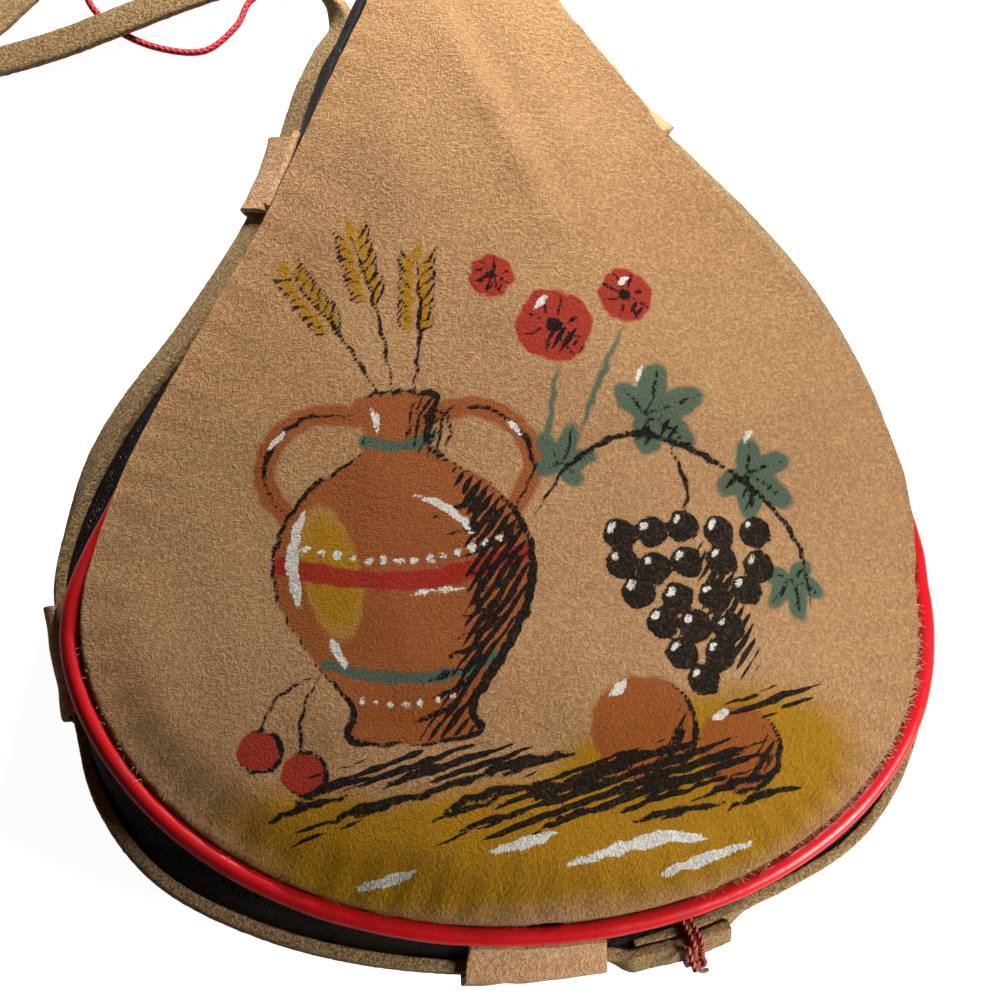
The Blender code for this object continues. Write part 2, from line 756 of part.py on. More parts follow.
def make_cap_eye():
    """Ring that turns in the cap's groove, with an eye for the cord at its left."""
    low = EYE_RING_MIDDLE - EYE_RING_WIDTH / 2
    profile = ring_profile(EYE_RING_INNER, EYE_RING_OUTER, low, low + EYE_RING_WIDTH)
    ring = add_turned("cap_tether_eye", lathe(profile), black_plastic)
    for name, radius, length, operation in (
        ("eye_body", EYE_HOLE_RADIUS + EYE_WALL, EYE_LENGTH, "UNION"),
        ("eye_hole", EYE_HOLE_RADIUS, EYE_LENGTH * 2, "DIFFERENCE"),
    ):
        bm = bmesh.new()
        bmesh.ops.create_cone(
            bm, cap_ends=True, segments=12, radius1=radius, radius2=radius, depth=length
        )
        cutter = bpy.data.objects.new(name, mesh_from(bm, name))
        cutters.objects.link(cutter)
        cutter.parent = neck_axis
        cutter.location = (-EYE_REACH, 0, EYE_RING_MIDDLE)
        cutter.hide_render = True
        cutter.display_type = "WIRE"
        cut = ring.modifiers.new(name, "BOOLEAN")
        cut.object = cutter
        cut.operation = operation
        cut.solver = "EXACT"


def turn_point(place, radius, height):
    """Point at an angle round the neck's axis, in the bag's own frame."""
    x = radius * math.cos(place)
    z = NECK_AXIS_HEIGHT + radius * math.sin(place)
    return Vector((x, TOP_V + height, z))


def make_neck_binding():
    """One cord wound round the neck, ending at the left where the tether goes on."""
    steps = 24
    thick = 2 * BINDING_CORD_RADIUS
    radius = (NECK_RADIUS + GAP + BINDING_CORD_RADIUS) / math.cos(math.pi / steps)
    pitch = thick + BINDING_SPACING
    low = NECK_V + SEAM_CLOSING + BINDING_CORD_RADIUS - TOP_V
    count = BINDING_TURNS * steps
    winding = []
    for i in range(count + 1):
        turned = (count - i) / steps
        winding.append(turn_point(math.pi - math.tau * turned, radius, low + pitch * turned))
    near = min(
        (winding[i] - winding[j]).length
        for i in range(count + 1)
        for j in range(i + steps // 2, count + 1)
    )
    print(f"neck binding: least gap between turns {(near - thick) * 1000:.2f} mm")
    start = winding[0] + Vector((0, 0, -thick))
    end = winding[-1] + Vector((0, 0, -thick))
    add_tube("neck_binding", [start] + winding + [end], BINDING_CORD_RADIUS, red_cord, 1)
    return end


def strap_tilt(q):
    tilt = ease(STRAP_TILT_START_V, STRAP_TILT_END_V, outline_v(q))
    return STRAP_TILT * tilt if abs(q) > BELLY_Q_SHARE else 0


def strap_frame(q, lift=0):
    """Middle of the strap at q, and its directions across its width and out of its face."""
    tilt = strap_tilt(q)
    out = outline_normal(q)
    up = Vector((0, 0, 1))
    reach = GAP + STRAP_WIDTH / 2 * math.sin(tilt) + STRAP_THICKNESS / 2 * math.cos(tilt)
    across = up * math.cos(tilt) - out * math.sin(tilt)
    face = out * math.cos(tilt) + up * math.sin(tilt)
    return band_point(q, 0) + out * (reach + lift), across, face


def strap_section(q, lift):
    middle, across, face = strap_frame(q, lift)
    wide = across * STRAP_WIDTH / 2
    thick = face * STRAP_THICKNESS / 2
    return [middle - wide - thick, middle + wide - thick, middle + wide + thick, middle - wide + thick]


def lap_places():
    """Where the lap's lift starts, is whole, starts to end, and has ended."""
    places = (
        INNER_END_X - GAP - LAP_RISE,
        INNER_END_X - GAP,
        OUTER_END_X + GAP,
        OUTER_END_X + GAP + LAP_RISE,
    )
    return [q_at_x(x) for x in places]


def lap_lift(q, outer):
    """How far the tied ends stand off the band, so that the tie passes behind them."""
    start, whole, leave, ended = lap_places()
    rise = ease(start, whole, q)
    lift = TIE_ROOM * (rise - ease(leave, ended, q))
    return lift + rise * (STRAP_THICKNESS + GAP) if outer else lift


def strap_loops():
    """Name, middle and length of each loop that holds the strap."""
    return (
        ("upper_left_strap_loop", q_at_v(UPPER_LEFT_LOOP_V, -1), SIDE_LOOP_LENGTH),
        ("lower_left_strap_loop", q_at_v(LOWER_LOOP_V, -1), SIDE_LOOP_LENGTH),
        ("bottom_strap_loop", q_at_x(BOTTOM_LOOP_X), BOTTOM_LOOP_LENGTH),
        ("lower_right_strap_loop", q_at_v(LOWER_LOOP_V, 1), SIDE_LOOP_LENGTH),
        ("upper_right_strap_loop", q_at_v(UPPER_RIGHT_LOOP_V, 1), SIDE_LOOP_LENGTH),
    )


def loop_stations(middle_q, length):
    """Places along a loop, evenly from one end of it to the other."""
    probe = outline_point(middle_q + PROBE_SHARE) - outline_point(middle_q - PROBE_SHARE)
    half = length * PROBE_SHARE / probe.length
    return [middle_q + half * (2 * i / LOOP_STEPS - 1) for i in range(LOOP_STEPS + 1)]


def run_stations(low, high, extra):
    """Places along a strap run: the body's, its loops' and its own."""
    places = round_stations(low, high) + extra
    for name, middle_q, length in strap_loops():
        places += [q for q in loop_stations(middle_q, length) if low < q < high]
    return sorted(places)


def make_strap_runs():
    """The strap's two ends, which run round the bag and lap over each other."""
    start, whole, leave, ended = lap_places()
    left = run_stations(q_at_v(LEFT_RUN_TOP_V, -1), q_at_x(OUTER_END_X), [start, whole])
    left_sections = [strap_section(q, lap_lift(q, True)) for q in left]
    add_loft("strap_left_run", left_sections, strap_suede)
    right = run_stations(q_at_x(INNER_END_X), q_at_v(RIGHT_RUN_TOP_V, 1), [leave, ended])
    right_sections = [strap_section(q, lap_lift(q, False)) for q in right]
    add_loft("strap_right_run", right_sections, strap_suede)


def add_strap_loop(name, middle_q, length):
    """Leather tab from the front seam over the strap and back to the side band."""

    def profile(q):
        middle, across, face = strap_frame(q)
        wide = across * (STRAP_WIDTH / 2 + GAP)
        near = face * (STRAP_THICKNESS / 2 - LOOP_SEAT)
        far = face * (STRAP_THICKNESS / 2 + GAP)
        seat = outline_normal(q) * LOOP_SEAT
        base = band_point(q, 0).z
        half_height = band_point(q, 1).z - base
        low = middle - wide - face * STRAP_THICKNESS / 2
        under = (low.z - base) / half_height
        low_seat = under - (LOOP_SEAM_SHARE + under) * LOOP_HEM_SHARE
        points = [band_point(q, LOOP_SEAM_SHARE) + seat, middle + wide - near]
        points += [middle + wide + far, middle - wide + far, low]
        return points + [band_point(q, low_seat) + seat, band_point(q, -LOOP_SEAM_SHARE) + seat]

    rings = [profile(q) for q in loop_stations(middle_q, length)]
    bm = shaped_grid(LOOP_STEPS, len(rings[0]) - 1, lambda i, j: rings[i][j])
    centre = band_point(middle_q, 0) - outline_normal(middle_q) * BELLY_HALF_WIDTH / 2
    add_shell(name, bm, centre, LOOP_THICKNESS, loop_suede, outward=True)


def make_strap_loops():
    for name, middle_q, length in strap_loops():
        add_strap_loop(name, middle_q, length)


def tie_points():
    """Route of the thread round the two layers of the strap, with its end left free."""
    q = q_at_x(TIE_X)
    inner, across, out = strap_frame(q, lap_lift(q, False))
    outer, across, out = strap_frame(q, lap_lift(q, True))
    middle = (inner + outer) / 2
    along = out.cross(across).normalized()
    room = GAP + TIE_CORD_RADIUS
    half_width = STRAP_WIDTH / 2 + room
    half_depth = STRAP_THICKNESS + GAP / 2 + room
    pitch = 2 * TIE_CORD_RADIUS + TIE_SPACING
    corners = [(-1, 1), (1, 1), (1, -1), (-1, -1)]
    points = []
    for i in range(4 * TIE_TURNS + 2):
        wide, deep = corners[i % 4]
        step = (i / 4 - TIE_TURNS / 2) * pitch
        corner = across * half_width * wide + out * half_depth * deep
        points.append(middle + corner + along * step)
    return points + [points[-1] + (out * 2 - across).normalized() * TIE_TAIL]


def make_strap_tie():
    add_tube("strap_tie", tie_points(), TIE_CORD_RADIUS, red_cord, 1)


def tether_route(start):
    """Points of the tether, chosen by hand, from the binding to the cap's eye."""
    eye = Vector((-EYE_REACH, TOP_V + EYE_RING_MIDDLE, NECK_AXIS_HEIGHT))
    run_start = eye - Vector((0, TETHER_RUN_BELOW_EYE, 0))
    run_end = eye + Vector((0, TETHER_RUN_ABOVE_EYE, 0))
    floor = BINDING_CORD_RADIUS + GAP
    lying = [
        (-0.0185, 0.2366, 0.0115),
        (-0.0275, 0.2385, 0.0050),
        (-0.0370, 0.2395, floor),
        (-0.0471, 0.2355, floor),
        (-0.0513, 0.2284, floor),
        (-0.0594, 0.2218, floor),
        (-0.0703, 0.2227, floor),
        (-0.0800, 0.2275, floor),
        (-0.0870, 0.2360, floor),
        (-0.0860, 0.2480, floor),
        (-0.0760, 0.2590, floor),
        (-0.0620, 0.2690, floor),
        (-0.0470, 0.2720, floor),
        (-0.0340, 0.2690, 0.0040),
        (-0.0245, 0.2640, 0.0100),
        (-0.0195, 0.2635, 0.0175),
        (-0.0174, 0.2670, 0.0230),
        (-0.0174, 0.2712, 0.0240),
        (-0.0164, 0.2747, 0.0240),
        (-0.0141, 0.2771, 0.0240),
    ]
    run = 2 * BINDING_CORD_RADIUS * TETHER_STEP_SHARE
    route = [start - Vector((0, 0, GAP + run * i / 2)) for i in range(3)]
    route += [Vector(point) for point in lying]
    return route + [run_start.lerp(run_end, i / 4) for i in range(5)]


def make_tether(binding_end):
    spacing = 2 * BINDING_CORD_RADIUS * TETHER_STEP_SHARE
    points = smooth_route(tether_route(binding_end), spacing)
    print(f"cap tether: {along_lengths(points) * 1000:.0f} mm in {len(points)} points")
    add_tube("cap_tether", points, BINDING_CORD_RADIUS, red_cord)


def strap_end(v, side):
    """Middle of a strap run's upper end, and the direction it points in."""
    q = q_at_v(v, side)
    along = outline_normal(q).cross(Vector((0, 0, 1))) * side
    return strap_frame(q)[0], -along


def shoulder_route():
    """Points of the free strap, chosen by hand, from the right run to the left one."""
    start, leave = strap_end(RIGHT_RUN_TOP_V, 1)
    finish, arrive = strap_end(LEFT_RUN_TOP_V, -1)
    lying = [
        (0.0200, 0.2450, 0.0140),
        (0.0190, 0.2560, 0.0060),
        (0.0080, 0.2635, 0.0038),
        (-0.0080, 0.2605, 0.0038),
        (-0.0240, 0.2520, 0.0038),
        (-0.0450, 0.2430, 0.0040),
        (-0.0660, 0.2343, 0.0056),
        (-0.0794, 0.2285, 0.0060),
        (-0.0939, 0.2231, 0.0050),
        (-0.1082, 0.2193, 0.0038),
        (-0.1300, 0.2145, 0.0038),
        (-0.1520, 0.2125, 0.0038),
        (-0.1720, 0.2060, 0.0038),
        (-0.1820, 0.1900, 0.0038),
        (-0.1760, 0.1740, 0.0038),
        (-0.1600, 0.1680, 0.0040),
        (-0.1430, 0.1760, 0.0052),
        (-0.1310, 0.1950, 0.0088),
        (-0.1201, 0.2161, 0.0118),
        (-0.1080, 0.2291, 0.0088),
        (-0.0985, 0.2395, 0.0062),
        (-0.0860, 0.2530, 0.0060),
        (-0.0730, 0.2640, 0.0064),
        (-0.0570, 0.2680, 0.0065),
        (-0.0420, 0.2610, 0.0095),
        (-0.0340, 0.2480, 0.0135),
        (-0.0305, 0.2330, 0.0160),
    ]
    run = STRAP_WIDTH * STRAP_RUN_SHARE
    route = [start + leave * (GAP + run * i) for i in range(3)]
    route += [Vector(point) for point in lying]
    return route + [finish + arrive * (GAP + run * i) for i in (2, 1, 0)]


def make_shoulder_strap():
    points = smooth_route(shoulder_route(), STRAP_WIDTH * STRAP_STEP_SHARE)
    print(f"shoulder strap: {along_lengths(points) * 1000:.0f} mm in {len(points)} points")
    add_tube("shoulder_strap", points, STRAP_WIDTH / 2, strap_suede)


for leftover in list(bpy.data.objects):
    bpy.data.objects.remove(leftover, do_unlink=True)

bota = make_collection("bota_bag")
cutters = make_collection("cutters")

suede = make_material("tan_suede", (0.62, 0.40, 0.24), 0.95)
loop_suede = make_material("loop_suede", (0.55, 0.36, 0.20), 0.95)
strap_suede = make_material("strap_suede", (0.30, 0.18, 0.07), 0.9)
black_leather = make_material("black_leather", (0.02, 0.015, 0.012), 0.45)
red_plastic = make_material("red_plastic", (0.62, 0.015, 0.01), 0.25)
black_plastic = make_material("black_plastic", (0.015, 0.015, 0.016), 0.35)
red_cord = make_material("red_cord", (0.60, 0.01, 0.02), 0.6)
rubber = make_material("rubber", (0.05, 0.05, 0.05), 0.7)
latex = make_material("latex", (0.55, 0.38, 0.20), 0.6)

lowest_v = min(point.y for point in tie_points()) - TIE_CORD_RADIUS
middle_v = (TOP_V + CAP_TOP_FACE + lowest_v) / 2

neck_axis = bpy.data.objects.new("neck_axis", None)
bota.objects.link(neck_axis)
neck_axis.location = (0, TOP_V - middle_v, NECK_AXIS_HEIGHT)
neck_axis.rotation_euler = (-math.pi / 2, 0, 0)

make_panels()
make_side_gusset()
make_piping()
make_liner()
make_collar()
make_nozzle()
make_cap()
make_cap_eye()
binding_end = make_neck_binding()
make_strap_runs()
make_strap_loops()
make_strap_tie()
make_tether(binding_end)
make_shoulder_strap()
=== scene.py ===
# %% [markdown]
# # A leather bota bag, dressed
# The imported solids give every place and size. This lesson keeps their frame and puts a
# finer surface round each of them: napped suede, satin leather, glossy piping, braided
# cord and moulded plastic. All lengths are metres. +Y runs from the bottom of the bag to
# its mouthpiece, +X to the right, and +Z up out of the suede front.

# %% Load the frame
import math

import bmesh
import bpy
import numpy as np
from mathutils import Matrix, Vector


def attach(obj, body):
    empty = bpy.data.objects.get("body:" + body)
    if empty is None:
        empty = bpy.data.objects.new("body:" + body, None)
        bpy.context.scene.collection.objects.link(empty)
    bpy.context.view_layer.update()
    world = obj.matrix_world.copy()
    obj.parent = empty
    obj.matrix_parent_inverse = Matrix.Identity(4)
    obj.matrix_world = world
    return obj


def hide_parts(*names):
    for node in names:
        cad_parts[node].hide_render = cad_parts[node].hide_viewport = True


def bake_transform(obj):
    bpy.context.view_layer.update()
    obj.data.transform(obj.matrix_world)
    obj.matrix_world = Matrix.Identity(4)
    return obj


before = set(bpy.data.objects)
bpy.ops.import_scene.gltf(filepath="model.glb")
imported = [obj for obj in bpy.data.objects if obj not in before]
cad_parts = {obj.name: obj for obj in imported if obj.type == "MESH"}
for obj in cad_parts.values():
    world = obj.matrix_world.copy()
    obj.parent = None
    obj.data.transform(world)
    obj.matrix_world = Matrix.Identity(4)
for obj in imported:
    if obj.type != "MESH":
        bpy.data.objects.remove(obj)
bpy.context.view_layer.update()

# %% [markdown]
# The camera and the cords come first, because a free cord has to lie where this view
# doesn't show too much of it. The photograph looks down on the bag, a little from its
# left and from below its foot, with the camera turned slightly. A long lens at half a
# metre gives the same foreshortening.

# %% Camera
def placed(name, data):
    """New object of the scene, at its origin."""
    made = bpy.data.objects.new(name, data)
    bpy.context.scene.collection.objects.link(made)
    return made


VIEW_AZIMUTH = math.radians(-30)
VIEW_ELEVATION = math.radians(73)
VIEW_ROLL = math.radians(-4.5)
VIEW_DISTANCE = 0.5
VIEW_TARGET = Vector((0.0010, -0.0454, 0.0327))
FOCAL_SHARE = 2.262
SENSOR = 36.0

level = math.cos(VIEW_ELEVATION)
view_back = Vector((math.sin(VIEW_AZIMUTH) * level, -math.cos(VIEW_AZIMUTH) * level, 0))
view_back.z = math.sin(VIEW_ELEVATION)
view_side = (-view_back).cross(Vector((0, 1, 0))).normalized()
view_up = view_back.cross(view_side)
turned_side = view_side * math.cos(VIEW_ROLL) + view_up * math.sin(VIEW_ROLL)
turned_up = view_up * math.cos(VIEW_ROLL) - view_side * math.sin(VIEW_ROLL)

camera_data = bpy.data.cameras.new("camera")
camera_data.sensor_width = SENSOR
camera_data.lens = SENSOR * FOCAL_SHARE
camera = placed("camera", camera_data)
camera.location = VIEW_TARGET + view_back * VIEW_DISTANCE
camera.rotation_euler = Matrix((turned_side, turned_up, view_back)).transposed().to_euler()
bpy.context.scene.camera = camera
print("camera at", [round(v, 4) for v in camera.location])

# %% [markdown]
# The bag's outline is one curve that its panels, band, piping and strap all follow. `q`
# is a place round it: 0 at the bottom, -1 at the left of the neck and 1 at the right.
# `v` is the height above the bottom seam. Shapes are worked out for whole arrays of
# places at once, because the suede front alone has tens of thousands of points.

# %% Sizes of the bag
MIDDLE_V = 0.14055940863713623
GAP = 0.0003
BELLY_HALF = 0.0940
BELLY_HEIGHT = 0.0690
SHOULDER = 0.1650
NECK_V = BELLY_HEIGHT + SHOULDER
TOP_V = NECK_V + 0.0150
BELLY_POWER = 2.05
BELLY_Q = 0.45
LEAN = 0.0070
FRONT_SEAM = 0.0330
BACK_SEAM = 0.0090
CORE = (0, BELLY_HEIGHT, (FRONT_SEAM + BACK_SEAM) / 2)
FRONT_DOME = 0.0125
FRONT_DOME_REACH = 0.0600
BACK_DOME_REACH = 0.0300
BACK_FLAT = 0.55
DOME_POWER = 2.2
LEATHER = 0.0020
PIPING = 0.0021
SEAM_CLOSING = 0.0020
NECK_RADIUS = 0.0136
NECK_HEIGHT = 0.0240
NECK_SEAM_ANGLE = math.radians(38)
NECK_MORPH = 0.60
BULGE = 0.0072
WIDTH_PLACES = (0.00, 0.07, 0.19, 0.31, 0.43, 0.55, 0.67, 0.79, 0.86, 0.92, 1.00)
WIDTH_SHARES = (1.000, 0.990, 0.921, 0.816, 0.685, 0.526, 0.378, 0.236, 0.155, 0.093, 0)
LEAN_PLACES = (-0.42, -0.20, 0.00, 0.07, 0.19, 0.31, 0.43, 0.55, 0.67, 0.79, 0.92, 1.00)
LEAN_SHARES = (0.50, 0.35, 0.07, 0.22, 0.65, 0.93, 1.03, 0.83, 0.48, 0.18, 0.00, 0.00)
BULGE_PLACES = (0, 0.12, 0.24, 0.29, 0.33, 0.37, 0.41, 0.45, 0.50, 0.56, 0.63, 0.71, 0.76, 0.88, 1)
BULGE_SHARES = (0.2, 0.25, 0.2, 0.2, 0.6, 1, 0.8, 0.6, 0.5, 0.45, 0.4, 0.2, 0.2, 0.25, 0.2)
print("bag", round(TOP_V * 1000), "mm to its neck's edge")


# %% The outline as arrays
def through(places, shares, place):
    """Smooth curve through shares at their places."""
    xs, ys = np.array(places), np.array(shares)
    slopes = np.empty(len(xs))
    slopes[1:-1] = (ys[2:] - ys[:-2]) / (xs[2:] - xs[:-2])
    slopes[0] = (ys[1] - ys[0]) / (xs[1] - xs[0])
    slopes[-1] = (ys[-1] - ys[-2]) / (xs[-1] - xs[-2])
    place = np.clip(np.asarray(place, float), xs[0], xs[-1])
    right = np.clip(np.searchsorted(xs, place), 1, len(xs) - 1)
    left = right - 1
    span = xs[right] - xs[left]
    t = (place - xs[left]) / span
    value = ys[left] * (1 + 2 * t) * (1 - t) ** 2 + ys[right] * t**2 * (3 - 2 * t)
    return value + span * t * (1 - t) * (slopes[left] * (1 - t) - slopes[right] * t)


def ease(low, high, value):
    t = np.clip((np.asarray(value, float) - low) / (high - low), 0, 1)
    return t * t * (3 - 2 * t)


def shoulder_share(v):
    return (np.asarray(v, float) - BELLY_HEIGHT) / SHOULDER


def lean(v):
    return LEAN * through(LEAN_PLACES, LEAN_SHARES, shoulder_share(v))


def shoulder_half(v):
    neck = NECK_RADIUS * math.cos(NECK_SEAM_ANGLE)
    return neck + (BELLY_HALF - neck) * through(WIDTH_PLACES, WIDTH_SHARES, shoulder_share(v))


def outline_v(q, inset=0.0):
    turn = np.abs(q) / BELLY_Q
    drop = np.cos(np.clip(turn, 0, 1) * math.pi / 2) ** (2 / BELLY_POWER)
    high = BELLY_HEIGHT + (np.abs(q) - BELLY_Q) / (1 - BELLY_Q) * (TOP_V - BELLY_HEIGHT)
    return np.where(turn < 1, inset + (BELLY_HEIGHT - inset) * (1 - drop), high)


def outline_half(q, inset=0.0):
    turn = np.abs(q) / BELLY_Q
    low = (BELLY_HALF - inset) * np.sin(np.clip(turn, 0, 1) * math.pi / 2) ** (2 / BELLY_POWER)
    v = outline_v(q)
    step = 0.0005 * TOP_V
    slope = (shoulder_half(v + step) - shoulder_half(v - step)) / (2 * step)
    return np.where(turn < 1, low, shoulder_half(v) - inset * np.hypot(1, slope))


def place(x, y, z):
    """Points from three arrays of coordinates."""
    return np.stack(np.broadcast_arrays(x, y, z), -1).astype(float)


def outline_at(q, z=0.0):
    v = outline_v(q)
    return place(lean(v) + np.sign(q) * outline_half(q), v, z)


def outline_normal(q):
    """Level direction out of the outline."""
    step = 0.0005
    along = outline_at(np.minimum(q + step, 1)) - outline_at(np.maximum(q - step, -1))
    along /= np.linalg.norm(along, axis=-1, keepdims=True)
    return place(along[..., 1], -along[..., 0], 0.0)


def q_where(reached):
    """Place q from 0 up where reached(q) turns true, found by halving."""
    low, high = 0.0, 1.0
    for _ in range(45):
        middle = (low + high) / 2
        low, high = (low, middle) if reached(middle) else (middle, high)
    return low


def q_at_v(v, way):
    return way * q_where(lambda q: float(outline_v(q)) >= v)


def q_at_x(x):
    """Place on the bottom of the outline that is at x."""
    middle = float(lean(0.0))
    way = 1 if x > middle else -1
    return way * q_where(
        lambda q: q > BELLY_Q or (float(outline_at(way * q)[0]) - x) * way >= 0
    )


def lengths_along(points):
    """Length of a line of points up to each of them."""
    return np.concatenate(([0], np.cumsum(np.linalg.norm(np.diff(points, axis=0), axis=1))))


def even_places(low, high, count):
    """Places q from low to high, evenly spaced along the outline itself."""
    probe = np.linspace(low, high, 4000)
    along = lengths_along(outline_at(probe))
    return np.interp(np.linspace(0, along[-1], count), along, probe)


print("half width at the belly", round(float(outline_half(BELLY_Q)), 4))


# %% Panels, band and seams
def blend_to_neck(body, neck, v):
    """The body's section turns into the round neck's above the shoulder."""
    share = np.where(v <= BELLY_HEIGHT, 0, ease(NECK_MORPH, 1, shoulder_share(v)))
    return body + (neck - body) * share[..., None]


def neck_form(v, angle):
    wide = shoulder_half(v) / math.cos(NECK_SEAM_ANGLE)
    z = NECK_HEIGHT + NECK_RADIUS * np.sin(angle)
    return place(lean(v) + wide * np.cos(angle), v, z)


def seam_room(v):
    """Distance that leather keeps from the seam line, which closes past the piping."""
    closing = ease(NECK_V + GAP, NECK_V + SEAM_CLOSING, v)
    return PIPING + GAP - PIPING * closing


def panel_point(q, u, front):
    """Outer face of a panel at q, and at u from -1 at its left to 1 at its right."""
    room = seam_room(outline_v(q))
    v = outline_v(q, room) + 0 * u
    curve = 1 - np.abs(u) ** DOME_POWER
    if front:
        rise = np.sqrt(1 - (1 - np.minimum(v / FRONT_DOME_REACH, 1)) ** 2)
        z = FRONT_SEAM + FRONT_DOME * rise * curve
    else:
        rise = np.sqrt(1 - (1 - np.minimum(v / BACK_DOME_REACH, 1)) ** 2)
        edge = np.maximum((np.abs(u) - BACK_FLAT) / (1 - BACK_FLAT), 0) ** 2
        z = BACK_SEAM * (1 - rise * (1 - edge))
    body = place(lean(v) + u * outline_half(q, room), v, z)
    spread = math.pi / 2 - NECK_SEAM_ANGLE - room / NECK_RADIUS
    angle = math.pi / 2 - u * spread
    return blend_to_neck(body, neck_form(v, angle if front else -angle), v)


def band_point(q, rise):
    """Outer face of the side band at q, with rise from -1 at its back edge to 1."""
    v = outline_v(q) + 0 * rise
    room = seam_room(v)
    swell = BULGE * through(BULGE_PLACES, BULGE_SHARES, (q + 1) / 2) * (1 - rise * rise)
    half_height = (FRONT_SEAM - BACK_SEAM) / 2 - room
    body = outline_at(q + 0 * rise) + outline_normal(q + 0 * rise) * swell[..., None]
    body[..., 2] = (FRONT_SEAM + BACK_SEAM) / 2 + rise * half_height
    angle = rise * (NECK_SEAM_ANGLE - room / NECK_RADIUS)
    return blend_to_neck(body, neck_form(v, np.where(q >= 0, angle, math.pi - angle)), v)


def seam_point(q, front):
    """Middle of the piping at q."""
    v = outline_v(q)
    angle = NECK_SEAM_ANGLE if front else -NECK_SEAM_ANGLE
    neck = neck_form(v, np.where(q >= 0, angle, math.pi - angle))
    return blend_to_neck(outline_at(q, FRONT_SEAM if front else BACK_SEAM), neck, v)


print("front at its middle", np.round(panel_point(np.array([BELLY_Q]), np.array([0.0]), True), 4))

# %% [markdown]
# Every surface here starts as a bmesh grid whose points are moved to their places. A
# sheet is one such grid. A cord, strap or turned part is a grid that is rolled up, so
# its two long edges are merged and its ends filled. The grid's own UV map comes along
# and later carries the patterns that follow a cord, such as its braid.


# %% Grids into pieces
WELD = 1e-7
SHARP_ANGLE = math.radians(40)


def new_bmesh():
    bm = bmesh.new()
    bm.loops.layers.uv.new("UVMap")
    return bm


def laid_grid(bm, points):
    """Add a grid to a bmesh, with its point (i, j) at points[i, j]."""
    rows, columns = points.shape[0] - 1, points.shape[1] - 1
    made = bmesh.ops.create_grid(
        bm, x_segments=rows, y_segments=columns, size=0.5, calc_uvs=True
    )["verts"]
    for vert in made:
        i = round((vert.co.x + 0.5) * rows)
        j = round((vert.co.y + 0.5) * columns)
        vert.co = points[i, j]
    return made


def face_away(bm, centre):
    """Turn all faces of an open piece away from centre."""
    bmesh.ops.recalc_face_normals(bm, faces=bm.faces)
    middle = Vector(centre)
    if sum((f.calc_center_median() - middle).dot(f.normal) for f in bm.faces) < 0:
        bmesh.ops.reverse_faces(bm, faces=bm.faces)
    return bm


def sheet(points, centre):
    """Open sheet that faces away from centre."""
    bm = new_bmesh()
    laid_grid(bm, points)
    return face_away(bm, centre)


def rolled(points):
    """Closed piece: the grid's last column meets its first, and its ends are filled."""
    bm = new_bmesh()
    laid_grid(bm, points)
    bmesh.ops.remove_doubles(bm, verts=bm.verts, dist=WELD)
    bmesh.ops.holes_fill(bm, edges=bm.edges, sides=0)
    bmesh.ops.recalc_face_normals(bm, faces=bm.faces)
    return bm


def joined(bm, *others):
    """The first bmesh with the others' faces added to it."""
    for other in others:
        spare = bpy.data.meshes.new("spare")
        other.to_mesh(spare)
        other.free()
        bm.from_mesh(spare)
        bpy.data.meshes.remove(spare)
    return bm


def finish_piece(node, kind, bm, material, body="bag", sharp=SHARP_ANGLE, added=False):
    """Make a bmesh, drawn with its height v as Y, a piece of the bag in the row's frame.

    It stands for the solid of its node, unless it is added to what the solids have.
    """
    name = f"{node}_{kind}"
    bmesh.ops.translate(bm, verts=bm.verts, vec=(0, -MIDDLE_V, 0))
    mesh = bpy.data.meshes.new(name)
    bm.to_mesh(mesh)
    bm.free()
    mesh.materials.append(material)
    mesh.shade_smooth()
    mesh.set_sharp_from_angle(angle=sharp)
    piece = placed(name, mesh)
    if body:
        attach(piece, body)
    if not added:
        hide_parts(node)
    print(name, len(mesh.polygons), "faces")
    return piece


def give_wall(piece, wall, side=-1):
    """Even thickness behind a sheet, or before it with side 1."""
    solid = piece.modifiers.new("wall", "SOLIDIFY")
    solid.thickness = wall
    solid.offset = side
    solid.use_even_offset = True


def soften_edges(piece, width, segments=2):
    bevel = piece.modifiers.new("edges", "BEVEL")
    bevel.width = width
    bevel.segments = segments
    bevel.limit_method = "ANGLE"
    bevel.angle_limit = SHARP_ANGLE
    bevel.use_clamp_overlap = True


# %% Paths and what is drawn along them
def unit(vectors):
    return vectors / np.linalg.norm(vectors, axis=-1, keepdims=True)


def smooth_line(points, closed=False, steps=6):
    """Smooth curve through points, with some steps between each two of them."""
    points = np.array(points, float)
    if closed:
        ends = np.vstack((points[-1:], points, points[:2]))
    else:
        ends = np.vstack((points[:1] * 2 - points[1:2], points, points[-1:] * 2 - points[-2:-1]))
    t = (np.arange(steps) / steps)[:, None]
    drawn = []
    for before, start, finish, after in zip(ends, ends[1:], ends[2:], ends[3:]):
        bend = (before * 2 - start * 5 + finish * 4 - after) * t**2
        twist = (start * 3 - before - finish * 3 + after) * t**3
        drawn.append((start * 2 + (finish - before) * t + bend + twist) / 2)
    return np.vstack(drawn + [points[:1] if closed else points[-1:]])


def evenly(line, count):
    """A count of points, evenly spaced along a line of points."""
    along = lengths_along(line)
    places = np.linspace(0, along[-1], count)
    return np.stack([np.interp(places, along, line[:, k]) for k in range(3)], -1)


def even_path(route, spacing):
    """Even points along a smooth curve through a route's own points."""
    dense = smooth_line(route, steps=16)
    return evenly(dense, max(round(lengths_along(dense)[-1] / spacing), 2) + 1)


